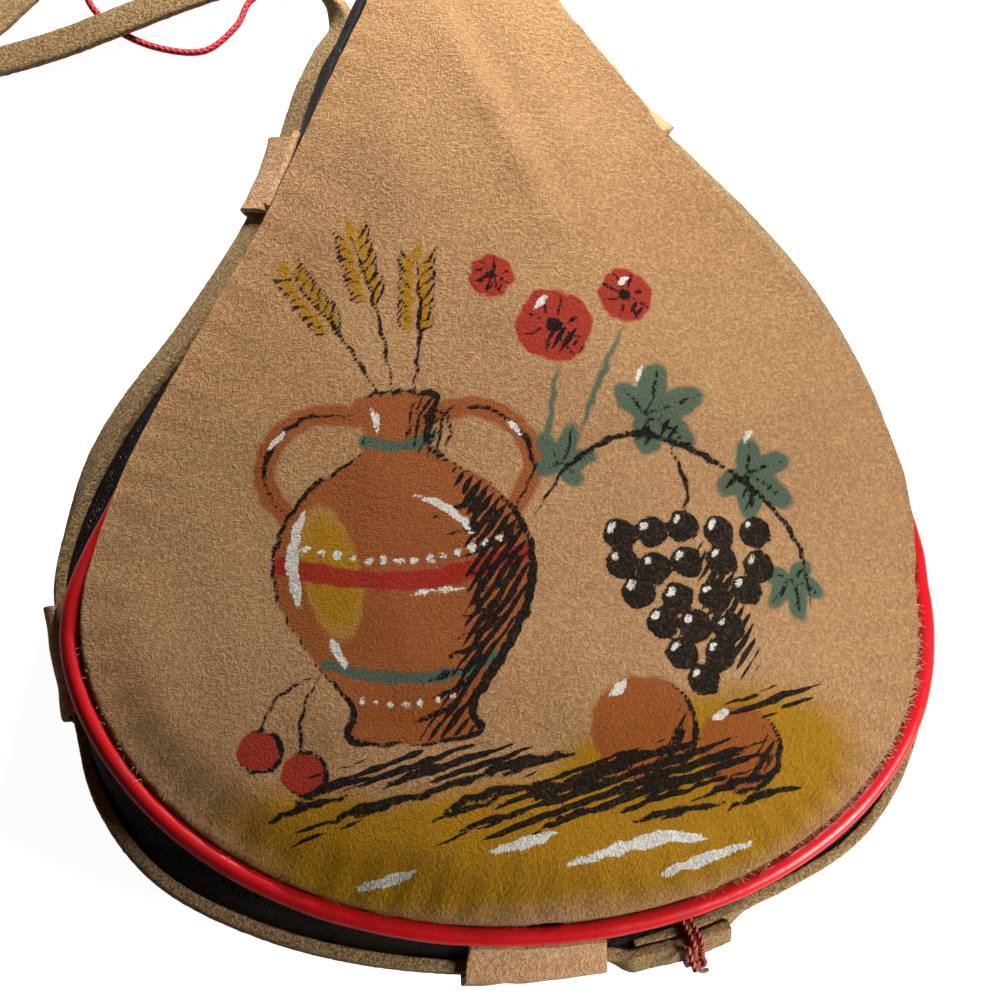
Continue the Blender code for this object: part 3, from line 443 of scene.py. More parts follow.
def untwisted(path):
    """Two directions across a path at each of its points, carried along without twist."""
    along = unit(np.gradient(path, axis=0))
    across = np.empty_like(along)
    start = np.cross(along[0], (0, 0, 1.0))
    across[0] = unit(start if np.linalg.norm(start) > 0.01 else np.cross(along[0], (1.0, 0, 0)))
    for i in range(1, len(path)):
        across[i] = unit(across[i - 1] - along[i] * (across[i - 1] @ along[i]))
    return across, np.cross(across, along)


def rings_along(path, across, up, section):
    """Rings of points: section holds (across, up) places, for all rings or for each."""
    section = np.broadcast_to(section, (len(path), *np.shape(section)[-2:]))
    closed = np.concatenate((section, section[:, :1]), axis=1)
    side = closed[..., :1] * across[:, None]
    return path[:, None] + side + closed[..., 1:] * up[:, None]


def round_section(radius, sides):
    angle = np.arange(sides) * math.tau / sides
    return radius * np.stack((np.cos(angle), np.sin(angle)), -1)


def strap_section(wide, thick, sides=28, power=5.0):
    """Flat section with rounded corners."""
    angle = np.arange(sides) * math.tau / sides
    c, s = np.cos(angle), np.sin(angle)
    x = wide / 2 * np.sign(c) * np.abs(c) ** (2 / power)
    return np.stack((x, thick / 2 * np.sign(s) * np.abs(s) ** (2 / power)), -1)


def cord_bm(path, radius, sides=12):
    across, up = untwisted(path)
    return rolled(rings_along(path, across, up, round_section(radius, sides)))


def wander(points, scale, seed):
    """Smooth random value, mostly -1 to 1, with features about scale wide."""
    rng = np.random.default_rng(seed)
    flat = np.asarray(points, float).reshape(-1, np.shape(points)[-1])
    total = np.zeros(len(flat))
    for _ in range(9):
        way = unit(rng.normal(size=flat.shape[1])) * rng.uniform(0.5, 1.5) / scale
        total += np.sin(flat @ way * math.tau + rng.uniform(0, math.tau))
    return (total / 3.2).reshape(np.shape(points)[:-1])


print("a test path has", len(even_path([(0, 0, 0), (0.1, 0, 0)], 0.01)), "points")

# %% [markdown]
# Materials are built from nodes. A helper adds a node and wires it in one line: an input
# is either a plain number or colour, which stays on the socket, or another node's
# output, which is linked.


# %% Node helpers
def wire(tree, kind, inputs=None, **settings):
    made = tree.nodes.new("ShaderNode" + kind)
    for key, value in settings.items():
        setattr(made, key, value)
    for key, value in (inputs or {}).items():
        if isinstance(value, bpy.types.NodeSocket):
            tree.links.new(value, made.inputs[key])
        else:
            made.inputs[key].default_value = value
    return made


def maths(tree, operation, first, second=0.0):
    return wire(tree, "Math", {0: first, 1: second}, operation=operation).outputs[0]


def times(tree, first, second):
    return maths(tree, "MULTIPLY", first, second)


def plus(tree, first, second):
    return maths(tree, "ADD", first, second)


def mixed(tree, share, first, second, blend="MIX"):
    colours = {0: share, 6: first, 7: second}
    return wire(tree, "Mix", colours, data_type="RGBA", blend_type=blend).outputs[2]


def between(tree, value, low, high, to_low=0.0, to_high=1.0):
    """A value from low to high, drawn from to_low to to_high and kept inside them."""
    ends = {"From Min": low, "From Max": high, "To Min": to_low, "To Max": to_high}
    return wire(tree, "MapRange", {"Value": value, **ends}).outputs[0]


def speckle(tree, coords, scale, detail=2.0, roughness=0.5):
    """Noise from 0 to 1 with features about 1 / scale metres wide."""
    looks = {"Vector": coords, "Scale": scale, "Detail": detail, "Roughness": roughness}
    return wire(tree, "TexNoise", looks).outputs["Fac"]


def seen(red, green, blue):
    """Colour as a screen shows it, from 0 to 255, made linear."""
    shares = [c / 255 for c in (red, green, blue)]
    return (*(c / 12.92 if c < 0.04 else ((c + 0.055) / 1.055) ** 2.4 for c in shares), 1)


def start_material(name, **values):
    material = bpy.data.materials.new(name)
    material.use_nodes = True
    tree = material.node_tree
    shader = tree.nodes["Principled BSDF"]
    for key, value in values.items():
        shader.inputs[key.replace("_", " ")].default_value = value
    return material, tree, shader, wire(tree, "TexCoord").outputs["Object"]


def raise_surface(tree, shader, height, distance, strength=1.0):
    bump = wire(tree, "Bump", {"Height": height, "Strength": strength, "Distance": distance})
    tree.links.new(bump.outputs[0], shader.inputs["Normal"])


# %% [markdown]
# Suede is the flesh side of the hide: short fibres lie in changing directions, so it is
# matte, slightly furry, and mottled where it has been handled. Noise at three sizes gives
# the clouds of colour, the curled tufts and the single fibres. The tufts' height also
# paints shade into the hollows of the nap and light onto its tips. A little sheen gives
# the soft pale rim that nap has where it is seen at a low angle.


# %% Suede
def nap(tree, coords, tuft, fibre):
    """Height of the nap: curled tufts with fibres on them."""
    looks = {"Vector": coords, "Scale": tuft, "Detail": 3.0, "Roughness": 0.62}
    curled = wire(tree, "TexNoise", {**looks, "Distortion": 0.35}).outputs["Fac"]
    fibres = speckle(tree, coords, fibre, 2.0, 0.7)
    return plus(tree, times(tree, curled, 0.55), times(tree, fibres, 0.45))


def hide_colour(tree, coords, height, dark, middle, light):
    """Clouded hide, with painted shade in the hollows of the nap and painted light on its tips."""
    clouds = between(tree, speckle(tree, coords, 16.0, 4.0, 0.55), 0.32, 0.68)
    hide = mixed(tree, clouds, dark, middle)
    # painted shade and light: the nap's height mixes the hide towards the light colour on its tips
    tips = between(tree, height, 0.43, 0.64)
    return mixed(tree, times(tree, tips, 0.8), hide, light)


def make_suede(name, dark, middle, light, tuft=800.0, fibre=2300.0, depth=0.0009):
    material, tree, shader, coords = start_material(
        name, Roughness=0.95, Specular_IOR_Level=0.08, Sheen_Weight=0.06, Sheen_Roughness=0.5
    )
    height = nap(tree, coords, tuft, fibre)
    colour = hide_colour(tree, coords, height, dark, middle, light)
    tree.links.new(colour, shader.inputs["Base Color"])
    raise_surface(tree, shader, height, depth)
    return material


strap_suede = make_suede(
    "strap_suede", seen(112, 82, 46), seen(140, 106, 62), seen(216, 184, 136), 1500.0, 3200.0
)
loop_suede = make_suede("loop_suede", seen(180, 132, 92), seen(202, 154, 110), seen(236, 194, 148))
# painted light: the loose fibres get a paler copy of the suede, which stands in for light passing
# through thin fibres
fringe_suede_painted_light = make_suede(
    "fringe_suede_painted_light", seen(226, 190, 150), seen(238, 206, 168), seen(250, 226, 194)
)
print("suedes", strap_suede.name, loop_suede.name, fringe_suede_painted_light.name)

# %% [markdown]
# The front carries a printed picture. Its edges have to stay crisp, but an image may not
# be used, so each ink is kept on the mesh as one number per point: the distance to the
# edge of that ink, in millimetres. Distances blend evenly between points, so the edge
# that the material cuts at zero stays sharp. Noise from the nap frays that edge, because
# ink sits on the tips of the fibres.


# %% Front suede with its inks
INKS = (
    ("ochre", seen(196, 140, 10), 0.98, 3.2),
    ("rust", seen(176, 92, 38), 0.92, 0.5),
    ("red", seen(186, 44, 34), 0.95, 0.3),
    ("teal", seen(76, 112, 92), 0.93, 0.4),
    ("black", seen(17, 13, 9), 0.99, 0.12),
    ("white", seen(252, 247, 234), 0.98, 0.12),
)


def hatching(tree, coords, shape, turn, spacing):
    """Slanting pen lines, which grow thicker well inside a shaded shape."""
    mask = wire(tree, "Attribute", attribute_name=shape).outputs["Fac"]
    c, s = math.cos(math.radians(turn)), math.sin(math.radians(turn))
    across = wire(tree, "VectorMath", {0: coords, 1: (-s, c, 0)}, operation="DOT_PRODUCT")
    along = wire(tree, "VectorMath", {0: coords, 1: (c, s, 0)}, operation="DOT_PRODUCT")
    across, along = across.outputs["Value"], along.outputs["Value"]
    wobble = times(tree, speckle(tree, coords, 90.0, 2.0), 6.5)
    turns = times(tree, across, math.tau / spacing)
    wave = maths(tree, "SINE", plus(tree, turns, wobble))
    stretched = {0: times(tree, along, 130.0), 1: times(tree, across, 620.0)}
    drawn_out = wire(tree, "CombineXYZ", stretched).outputs[0]
    gaps = between(tree, speckle(tree, drawn_out, 1.0, 3.0, 0.6), 0.3, 0.7, -0.9, 0.9)
    threshold = between(tree, mask, -4.0, 0.4, -0.7, 2.4)
    level = maths(tree, "SUBTRACT", plus(tree, wave, gaps), threshold)
    return between(tree, level, -0.12, 0.12)


def make_front_suede():
    material, tree, shader, coords = start_material(
        "front_suede",
        Roughness=0.95,
        Specular_IOR_Level=0.06,
        Sheen_Weight=0.04,
        Sheen_Roughness=0.5,
    )
    height = nap(tree, coords, 1150.0, 2900.0)
    colour = hide_colour(
        tree, coords, height, seen(178, 128, 82), seen(196, 147, 98), seen(240, 192, 138)
    )
    fray = maths(tree, "MULTIPLY_ADD", height, -1.9)
    fray.node.inputs[2].default_value = 0.95
    # painted shade and light: each ink is darker in the nap's hollows and lighter on its tips
    tips = between(tree, height, 0.40, 0.62, 0.80, 1.15)
    painted_nap_shade = wire(tree, "CombineColor", {0: tips, 1: tips, 2: tips}).outputs[0]
    for name, ink, cover, soft in INKS:
        edge = wire(tree, "Attribute", attribute_name="ink_" + name).outputs["Fac"]
        frayed = plus(tree, edge, fray)
        inked = between(tree, frayed, -soft, soft * 0.6, 1.0, 0.0)
        if name == "black":
            for shape, turn, spacing in (("shade", 52, 0.0019), ("ground", 16, 0.0024)):
                lines = hatching(tree, coords, "ink_" + shape, turn, spacing)
                inked = maths(tree, "MAXIMUM", inked, lines)
        worn = between(tree, height, 0.36, 0.50, cover * 0.80, cover)
        toned = mixed(tree, 1.0, ink, painted_nap_shade, "MULTIPLY")
        colour = mixed(tree, times(tree, inked, worn), colour, toned)
    tree.links.new(colour, shader.inputs["Base Color"])
    raise_surface(tree, shader, height, 0.0036)
    return material


front_suede = make_front_suede()
print("front suede has", len(front_suede.node_tree.nodes), "nodes")

# %% [markdown]
# The band and the back are black grain leather with a satin finish: fine pebbled grain
# from a Voronoi texture, broad creases from stretched noise, and duller places where it
# has been rubbed. The piping is a soft plastic cord with a wet gloss.


# %% Leather, plastics, rubber and latex
def make_black_leather():
    material, tree, shader, coords = start_material("black_leather", Specular_IOR_Level=0.28)
    grain = wire(
        tree, "TexVoronoi", {"Vector": coords, "Scale": 1400.0}, feature="DISTANCE_TO_EDGE"
    ).outputs["Distance"]
    pebbles = between(tree, grain, 0.0, 0.16)
    creases = speckle(tree, coords, 110.0, 5.0, 0.62)
    rubbed = between(tree, speckle(tree, coords, 45.0, 4.0, 0.6), 0.46, 0.70)
    colour = mixed(tree, rubbed, seen(13, 9, 7), seen(34, 25, 20))
    tree.links.new(colour, shader.inputs["Base Color"])
    tree.links.new(between(tree, rubbed, 0.0, 1.0, 0.34, 0.55), shader.inputs["Roughness"])
    height = plus(tree, times(tree, pebbles, 0.25), creases)
    raise_surface(tree, shader, height, 0.0005, 0.9)
    return material


def make_plastic(name, base, worn, rough_low, rough_high, coat=0.0, ripple=0.00008):
    """Moulded or drawn plastic: faint ripple, and dust or fine wear that dulls it."""
    material, tree, shader, coords = start_material(name, Coat_Weight=coat, Coat_Roughness=0.12)
    wear = between(tree, speckle(tree, coords, 160.0, 5.0, 0.65), 0.44, 0.72)
    tree.links.new(mixed(tree, wear, base, worn), shader.inputs["Base Color"])
    tree.links.new(between(tree, wear, 0, 1, rough_low, rough_high), shader.inputs["Roughness"])
    raise_surface(tree, shader, speckle(tree, coords, 420.0, 3.0, 0.5), ripple, 0.8)
    return material


black_leather = make_black_leather()
piping_plastic = make_plastic(
    "piping_plastic", seen(210, 18, 26), seen(186, 20, 28), 0.34, 0.50, 0.08, 0.00012
)
nozzle_plastic = make_plastic("nozzle_plastic", seen(196, 20, 24), seen(176, 26, 28), 0.24, 0.40)
black_plastic = make_plastic("black_plastic", seen(26, 26, 28), seen(46, 45, 46), 0.30, 0.48)
rubber = make_plastic("rubber", seen(52, 51, 50), seen(74, 72, 70), 0.66, 0.82)
latex = make_plastic("latex", seen(196, 160, 112), seen(176, 136, 88), 0.50, 0.68)
print("leather, plastics and rubber ready")


# %% [markdown]
# The red cords are braided. Their braid is drawn on the UV map, whose first direction
# runs along the cord and whose second runs round it: two sets of slanting strands, of
# which the nearer hides the other. The thread of the tie is twisted, so it has one set.


# %% Braided cord and twisted thread
def make_cord_material(name, along_repeats, round_repeats, deep, bright, twisted=False):
    """Strands slant so that along_repeats of them pass over the whole UV length."""
    material, tree, shader, coords = start_material(
        name, Roughness=0.48, Specular_IOR_Level=0.45, Sheen_Weight=0.15
    )
    place_on = wire(tree, "SeparateXYZ", {0: wire(tree, "UVMap", uv_map="UVMap").outputs[0]})
    along = times(tree, place_on.outputs[0], along_repeats)
    around = times(tree, place_on.outputs[1], round_repeats)

    def strand(sign):
        turned = times(tree, around, sign)
        wave = times(tree, plus(tree, along, turned), math.pi)
        return maths(tree, "ABSOLUTE", maths(tree, "SINE", wave))

    height = strand(1)
    if not twisted:
        height = maths(tree, "MAXIMUM", height, strand(-1))
    lint = speckle(tree, coords, 2600.0, 2.0)
    # painted shade: the strands are darker where they dip under each other and brighter on their
    # crowns
    shade = plus(tree, between(tree, height, 0.30, 0.95), times(tree, lint, 0.2))
    tree.links.new(mixed(tree, shade, deep, bright), shader.inputs["Base Color"])
    raise_surface(tree, shader, height, 0.00025)
    return material


tether_cord = make_cord_material("tether_cord", 150.0, 4.0, seen(120, 8, 18), seen(214, 34, 52))
binding_cord = make_cord_material("binding_cord", 310.0, 4.0, seen(120, 8, 18), seen(210, 32, 48))
tie_thread = make_cord_material(
    "tie_thread", 60.0, 2.0, seen(112, 30, 22), seen(206, 84, 62), twisted=True
)
print("cord materials ready")

# %% [markdown]
# The shoulder strap is one long suede ribbon, 7 mm wide and 3 mm thick. It leaves the
# right run, lies in a bight beyond the bag's neck, crosses itself, and comes back to the
# left run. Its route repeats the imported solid's, moved by about 2 mm where the camera
# sees it. That solid is a round tube, so the flat ribbon lies a little lower than the
# tube's middle wherever it rests on the table.


# %% Strap frames
STRAP_WIDTH = 0.0070
STRAP_THICKNESS = 0.0030
STRAP_TILT = math.radians(48)
LAP_TILT = math.radians(24)
NAP_DEPTH = 0.00006
LEFT_RUN_TOP_V = NECK_V - 0.0350
RIGHT_RUN_TOP_V = NECK_V - 0.0220
UP = np.array((0, 0, 1.0))
# Places q, and by how many millimetres the strap is pressed into the band there. A
# negative number stands off it.
PRESSED_Q = (-1, -0.92, -0.85, -0.78, -0.72, -0.66, -0.61, -0.56, -0.50, -0.45, -0.38, -0.32)
PRESSED_Q += (0.03, 0.10, 0.17, 0.24, 0.34, 0.45, 0.55, 0.64, 0.72, 0.78, 0.83, 0.88, 0.95, 1)
PRESSED_MM = (0, 1.6, 2.8, 3.0, 2.2, 0.8, -1.8, -3.2, -2.2, 1.8, 2.2, 0)
PRESSED_MM += (0, 1.8, 0.9, -0.8, 0.8, 2.2, 1.2, -0.8, -2.5, -0.6, 3.8, 3.8, 1.0, 0)


def taut(q):
    """How far the strap and its loops press into the band, in metres."""
    return through(PRESSED_Q, PRESSED_MM, q) / 1000


def lap_share(q):
    """Share of the lap's twist: both layers lean back where they are tied."""
    x = outline_at(q)[..., 0] * (np.abs(q) < BELLY_Q)
    return ease(0.0175, 0.0235, x) * (1 - ease(0.0425, 0.0500, x))


def strap_frame(q, lift=0.0):
    """Middle of the strap at q, and its directions across its width and out of its face."""
    q = np.asarray(q, float)
    tilt = STRAP_TILT * ease(0.0800, 0.1200, outline_v(q)) * (np.abs(q) > BELLY_Q)
    tilt = tilt + LAP_TILT * lap_share(q)
    out = outline_normal(q)
    reach = GAP + STRAP_WIDTH / 2 * np.sin(tilt) + STRAP_THICKNESS / 2 * np.cos(tilt)
    reach = reach - taut(q)
    across = UP * np.cos(tilt)[..., None] - out * np.sin(tilt)[..., None]
    face = out * np.cos(tilt)[..., None] + UP * np.sin(tilt)[..., None]
    middle = band_point(q, 0.0 * q) + out * reach[..., None]
    return middle + face * np.asarray(lift + 0.0 * q)[..., None], across, face


def strap_end(v, way):
    """Where the free strap leaves a run, its direction there, and the way across it."""
    q = np.array([q_at_v(v, way)])
    middle, across, _ = strap_frame(q)
    return middle[0], -np.cross(outline_normal(q)[0], UP) * way, across[0]


print("strap leans", round(math.degrees(STRAP_TILT)), "degrees at the shoulders")


def nap_rings(rings, depth, seed):
    """Roughen a ribbon's rings, so that its outline is furry too."""
    rng = np.random.default_rng(seed)
    middle = rings[:, :-1].mean(axis=1, keepdims=True)
    push = rng.normal(0, depth, rings.shape[:2])
    push[:, -1] = push[:, 0]
    return rings + unit(rings - middle) * push[..., None]


# %% Free shoulder strap
def nudged(point):
    """A cord's point, moved a little where the camera sees it."""
    share = float(ease(-0.025, -0.050, point[0]))
    return np.array(point) + np.array((0.0010, -0.0018, 0.0)) * share


STRAP_LYING = [
    (0.0200, 0.2450, 0.0140), (0.0190, 0.2560, 0.0060), (0.0080, 0.2635, 0.0038),
    (-0.0080, 0.2605, 0.0038), (-0.0240, 0.2520, 0.0038), (-0.0450, 0.2430, 0.0040),
    (-0.0660, 0.2343, 0.0056), (-0.0794, 0.2285, 0.0060), (-0.0939, 0.2231, 0.0050),
    (-0.1082, 0.2193, 0.0038), (-0.1300, 0.2145, 0.0038), (-0.1520, 0.2125, 0.0038),
    (-0.1720, 0.2060, 0.0038), (-0.1820, 0.1900, 0.0038), (-0.1760, 0.1740, 0.0038),
    (-0.1600, 0.1680, 0.0040), (-0.1430, 0.1760, 0.0052), (-0.1310, 0.1950, 0.0088),
    (-0.1201, 0.2161, 0.0118), (-0.1080, 0.2291, 0.0088), (-0.0985, 0.2395, 0.0062),
    (-0.0860, 0.2530, 0.0060), (-0.0730, 0.2640, 0.0064), (-0.0570, 0.2680, 0.0065),
    (-0.0420, 0.2610, 0.0095), (-0.0348, 0.2480, 0.0135), (-0.0322, 0.2330, 0.0160),
]
strap_start, strap_leave, start_across = strap_end(RIGHT_RUN_TOP_V, 1)
strap_stop, strap_arrive, stop_across = strap_end(LEFT_RUN_TOP_V, -1)
run = STRAP_WIDTH * 1.3
route = [strap_start + strap_leave * (GAP + run * i) for i in range(3)]
route += [nudged(point) for point in STRAP_LYING]
route += [strap_stop + strap_arrive * (GAP + run * i) for i in (2, 1, 0)]
strap_path = even_path(route, 0.0012)
count = len(strap_path)
along = np.linspace(0, 1, count)
lying = ease(0.06, 0.13, along) * (1 - ease(0.87, 0.94, along))
height = strap_path[:, 2]
lowered = np.where(height < 0.0065, height - 0.0020, 0.0045 + (height - 0.0065) * 0.45)
strap_path[:, 2] = height + (np.minimum(lowered, height) - height) * lying
forward = unit(np.gradient(strap_path, axis=0))
flat = unit(np.cross(forward, UP))


def turned_across(flat, end_across, share):
    """Ribbon's width direction, going over from an end's own to level."""
    way = np.sign((flat * end_across).sum(-1).mean() or 1.0)
    return flat * share[:, None] + way * end_across * (1 - share)[:, None]


half_way = count // 2
strap_across = flat.copy()
strap_across[:half_way] = turned_across(
    flat[:half_way], start_across, ease(0.0, 0.12, along[:half_way])
)
strap_across[half_way:] = turned_across(
    flat[half_way:], stop_across, 1 - ease(0.88, 1.0, along[half_way:])
)
strap_across = unit(strap_across - forward * (strap_across * forward).sum(-1, keepdims=True))
strap_up = np.cross(strap_across, forward)
ribbon = rings_along(
    strap_path, strap_across, strap_up, strap_section(STRAP_WIDTH, STRAP_THICKNESS)
)
ribbon_bm = rolled(nap_rings(ribbon, NAP_DEPTH, 11))
shoulder_strap = finish_piece("shoulder_strap", "suede", ribbon_bm, strap_suede)
print("strap is", round(lengths_along(strap_path)[-1] * 1000), "mm long")

# %% [markdown]
# The thin red cord is bound round the neck, leaves the binding at its left, lies in a
# loop on the table, and rises to the eye beside the cap. It bends between the bag and
# the washer, because its upper end rises with the nozzle.

# %% Neck binding and cap tether
CORD_RADIUS = 0.00085
BINDING_TURNS = 5
steps = 72
binding_radius = NECK_RADIUS + GAP + CORD_RADIUS
pitch = 2 * CORD_RADIUS + 0.00045
binding_low = NECK_V + SEAM_CLOSING + CORD_RADIUS - TOP_V


def round_neck(angle, radius, height):
    """Point at an angle round the neck's axis, at a height over the neck's edge."""
    z = NECK_HEIGHT + radius * np.sin(angle)
    return place(radius * np.cos(angle), TOP_V + height, z)


wound = (BINDING_TURNS * steps - np.arange(BINDING_TURNS * steps + 1)) / steps
winding = round_neck(math.pi - math.tau * wound, binding_radius, binding_low + pitch * wound)
below = np.array((0, 0, -2 * CORD_RADIUS))
binding_path = np.vstack((winding[:1] + below, winding, winding[-1:] + below))
finish_piece("neck_binding", "cord", cord_bm(binding_path, CORD_RADIUS), binding_cord)

EYE_REACH = 0.0108
EYE_HEIGHT = 0.0360
TETHER_LYING = [
    (-0.0185, 0.2366, 0.0115), (-0.0275, 0.2385, 0.0050), (-0.0370, 0.2395, 0.00115),
    (-0.0471, 0.2355, 0.00115), (-0.0513, 0.2284, 0.00115), (-0.0594, 0.2218, 0.00115),
    (-0.0703, 0.2227, 0.00115), (-0.0800, 0.2275, 0.00115), (-0.0870, 0.2360, 0.00115),
    (-0.0860, 0.2480, 0.00115), (-0.0760, 0.2590, 0.00115), (-0.0620, 0.2690, 0.00115),
    (-0.0470, 0.2720, 0.00115), (-0.0340, 0.2690, 0.0040), (-0.0245, 0.2640, 0.0100),
    (-0.0195, 0.2635, 0.0175), (-0.0174, 0.2670, 0.0230), (-0.0174, 0.2712, 0.0240),
    (-0.0164, 0.2747, 0.0240), (-0.0141, 0.2771, 0.0240),
]
tether_start = binding_path[-1]
tether_step = 2 * CORD_RADIUS * 2.9
eye = np.array((-EYE_REACH, TOP_V + EYE_HEIGHT, NECK_HEIGHT))
run_start, run_end = eye - (0, 0.0064, 0), eye + (0, 0.0095, 0)
route = [tether_start - (0, 0, GAP + tether_step * i / 2) for i in range(3)]
route += [nudged(point) for point in TETHER_LYING]
route += [run_start + (run_end - run_start) * i / 4 for i in range(5)]
tether_path = even_path(route, 0.0006)
tether_bm = cord_bm(tether_path, CORD_RADIUS)
cap_tether = finish_piece("cap_tether", "cord", tether_bm, tether_cord, body=None)
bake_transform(cap_tether)
print("tether is", round(lengths_along(tether_path)[-1] * 1000), "mm long")

# %% [markdown]
# The suede front is a stuffed panel. It domes out of its seam, rolls over towards the
# piping, puckers a little where it is stitched, and hangs over the piping on the upper
# half. A soft fold runs down from the neck. Each of these is a small push of the points,
# and most of them depend on how far a point is from the seam.

# %% Front panel: shape
FRONT_ROWS = 330
FRONT_COLUMNS = 250
front_q = even_places(0.012, 1.0, FRONT_ROWS)
front_u = np.linspace(-1, 1, FRONT_COLUMNS)
front = panel_point(front_q[:, None], front_u[None, :], True)

edge_q = np.concatenate((-even_places(0.0, 1.0, 700)[::-1], even_places(0.0, 1.0, 700)[1:]))
edge_room = seam_room(outline_v(edge_q))
edge = outline_at(edge_q) - outline_normal(edge_q) * edge_room[:, None]
edge_out = outline_normal(edge_q)
edge_along = lengths_along(outline_at(edge_q))


def nearest_edge(points):
    """Distance from the panel's edge, the way out, and the place along the edge, in metres."""
    distance = np.empty(points.shape[:2])
    nearest = np.empty(points.shape[:2], int)
    for i, row in enumerate(points):
        away = np.hypot(*(row[:, None, k] - edge[None, :, k] for k in (0, 1)))
        nearest[i] = away.argmin(axis=1)
        distance[i] = away[np.arange(len(row)), nearest[i]]
    return distance, edge_out[nearest], edge_along[nearest]


def hump(distance, peak, power=1.0):
    """0 at the edge, 1 at peak, and fading out beyond it."""
    t = distance / peak
    return (t * np.exp(1 - t)) ** power


def beside_line(x, v, start, end):
    """Share along a line and distance to its side, for each point."""
    ax, av = start
    bx, bv = end
    long = math.hypot(bx - ax, bv - av)
    dx, dv = (bx - ax) / long, (bv - av) / long
    return ((x - ax) * dx + (v - av) * dv) / long, (x - ax) * dv - (v - av) * dx


def dress_front(points):
    """Push the plain dome into the shape of stuffed, stitched and folded suede."""
    from_edge, out, seam = nearest_edge(points)
    x, v = points[..., 0].copy(), points[..., 1].copy()
    low = 0.052 - 0.008 * ease(-0.03, 0.03, x)
    upper = ease(low, low + 0.056, v) * (1 - ease(0.214, 0.238, v))
    body = 1 - ease(0.200, 0.236, v)
    over_loop = ease(0.178, 0.184, v) * (1 - ease(0.202, 0.208, v)) * (x > 0)
    points += out * (0.0011 * over_loop * hump(from_edge, 0.0040, 2))[..., None]
    points += out * (0.0060 * upper * hump(from_edge, 0.0045, 2))[..., None]
    points[..., 2] += 0.0030 * upper * hump(from_edge, 0.0016)
    lip = body * (1 - upper)
    points += out * (0.0011 * lip * hump(from_edge, 0.0016))[..., None]
    points[..., 2] += 0.0012 * lip * hump(from_edge, 0.0011)
    points[..., 2] += body * 0.0013 * hump(from_edge, 0.0065)
    puckers = np.sin(seam / 0.0085 * math.tau + 2.2 * wander(points, 0.060, 3))
    points[..., 2] += body * 0.00022 * puckers * hump(from_edge, 0.0035)
    inner = ease(0.0, 0.014, from_edge) * body
    points[..., 2] += inner * 0.0010 * wander(points[..., :2], 0.075, 5)
    points[..., 2] += inner * 0.00028 * wander(points[..., :2], 0.021, 6)
    share, side = beside_line(x, v, (-0.0036, 0.2148), (0.0173, 0.1631))
    fold = ease(-0.10, 0.25, share) * (1 - ease(0.65, 1.35, share))
    points[..., 2] += fold * (0.0016 * np.exp(-((side - 0.0042) / 0.0044) ** 2))
    points[..., 2] -= fold * (0.0015 * np.exp(-((side + 0.0022) / 0.0040) ** 2))
    share, side = beside_line(x, v, (-0.0400, 0.1900), (-0.0250, 0.1500))
    fold = ease(-0.2, 0.3, share) * (1 - ease(0.6, 1.3, share))
    points[..., 2] -= fold * 0.0005 * np.exp(-((side / 0.0055) ** 2))
    return points


front = dress_front(front)
print("front is", round(float(front[..., 2].max()) * 1000, 1), "mm high")


# %% [markdown]
# The picture is a still life of its own: a jug with two handles and ears of wheat in it,
# vine leaves and dark grapes, poppies, oranges, cherries, and an ochre ground. Each shape
# is written as a signed distance in millimetres. Blobs are ellipses, strokes are lines
# that thin out at their ends, and outlines are smooth closed curves. The place above it
# stays bare.


# %% Shapes to print with
def oval(at, centre, radii, turn=0.0):
    c, s = math.cos(math.radians(turn)), math.sin(math.radians(turn))
    dx, dv = at[:, 0] - centre[0], at[:, 1] - centre[1]
    a, b = (dx * c + dv * s) / radii[0], (dv * c - dx * s) / radii[1]
    return (np.hypot(a, b) - 1) * min(radii)


def to_line(at, line):
    """Distance to a line of points, and how far along it the nearest place is."""
    best = np.full(len(at), 1e9)
    place_on = np.zeros(len(at))
    for i, (start, finish) in enumerate(zip(line, line[1:])):
        step = finish - start
        t = np.clip(((at - start) @ step) / max(step @ step, 1e-9), 0, 1)
        away = np.hypot(at[:, 0] - start[0] - step[0] * t, at[:, 1] - start[1] - step[1] * t)
        closer = away < best
        best[closer] = away[closer]
        place_on[closer] = (i + t[closer]) / (len(line) - 1)
    return best, place_on


def stroke(at, points, width, taper=0.7):
    """Pen or brush stroke, thinner at its ends."""
    away, share = to_line(at, smooth_line(points, steps=4))
    return away - width / 2 * (1 - taper * (2 * share - 1) ** 2)


def filled(at, points):
    """Inside of a smooth closed outline."""
    line = smooth_line(points, closed=True)
    away = to_line(at, line)[0]
    inside = np.zeros(len(at), bool)
    for (ax, av), (bx, bv) in zip(line, line[1:]):
        crosses = (av > at[:, 1]) != (bv > at[:, 1])
        reach = ax + (at[:, 1] - av) * (bx - ax) / (bv - av if bv != av else 1e-9)
        inside ^= crosses & (at[:, 0] < reach)
    return np.where(inside, -away, away)


def united(*shapes):
    return np.minimum.reduce(shapes)


def without(shape, hole):
    return np.maximum(shape, -hole)


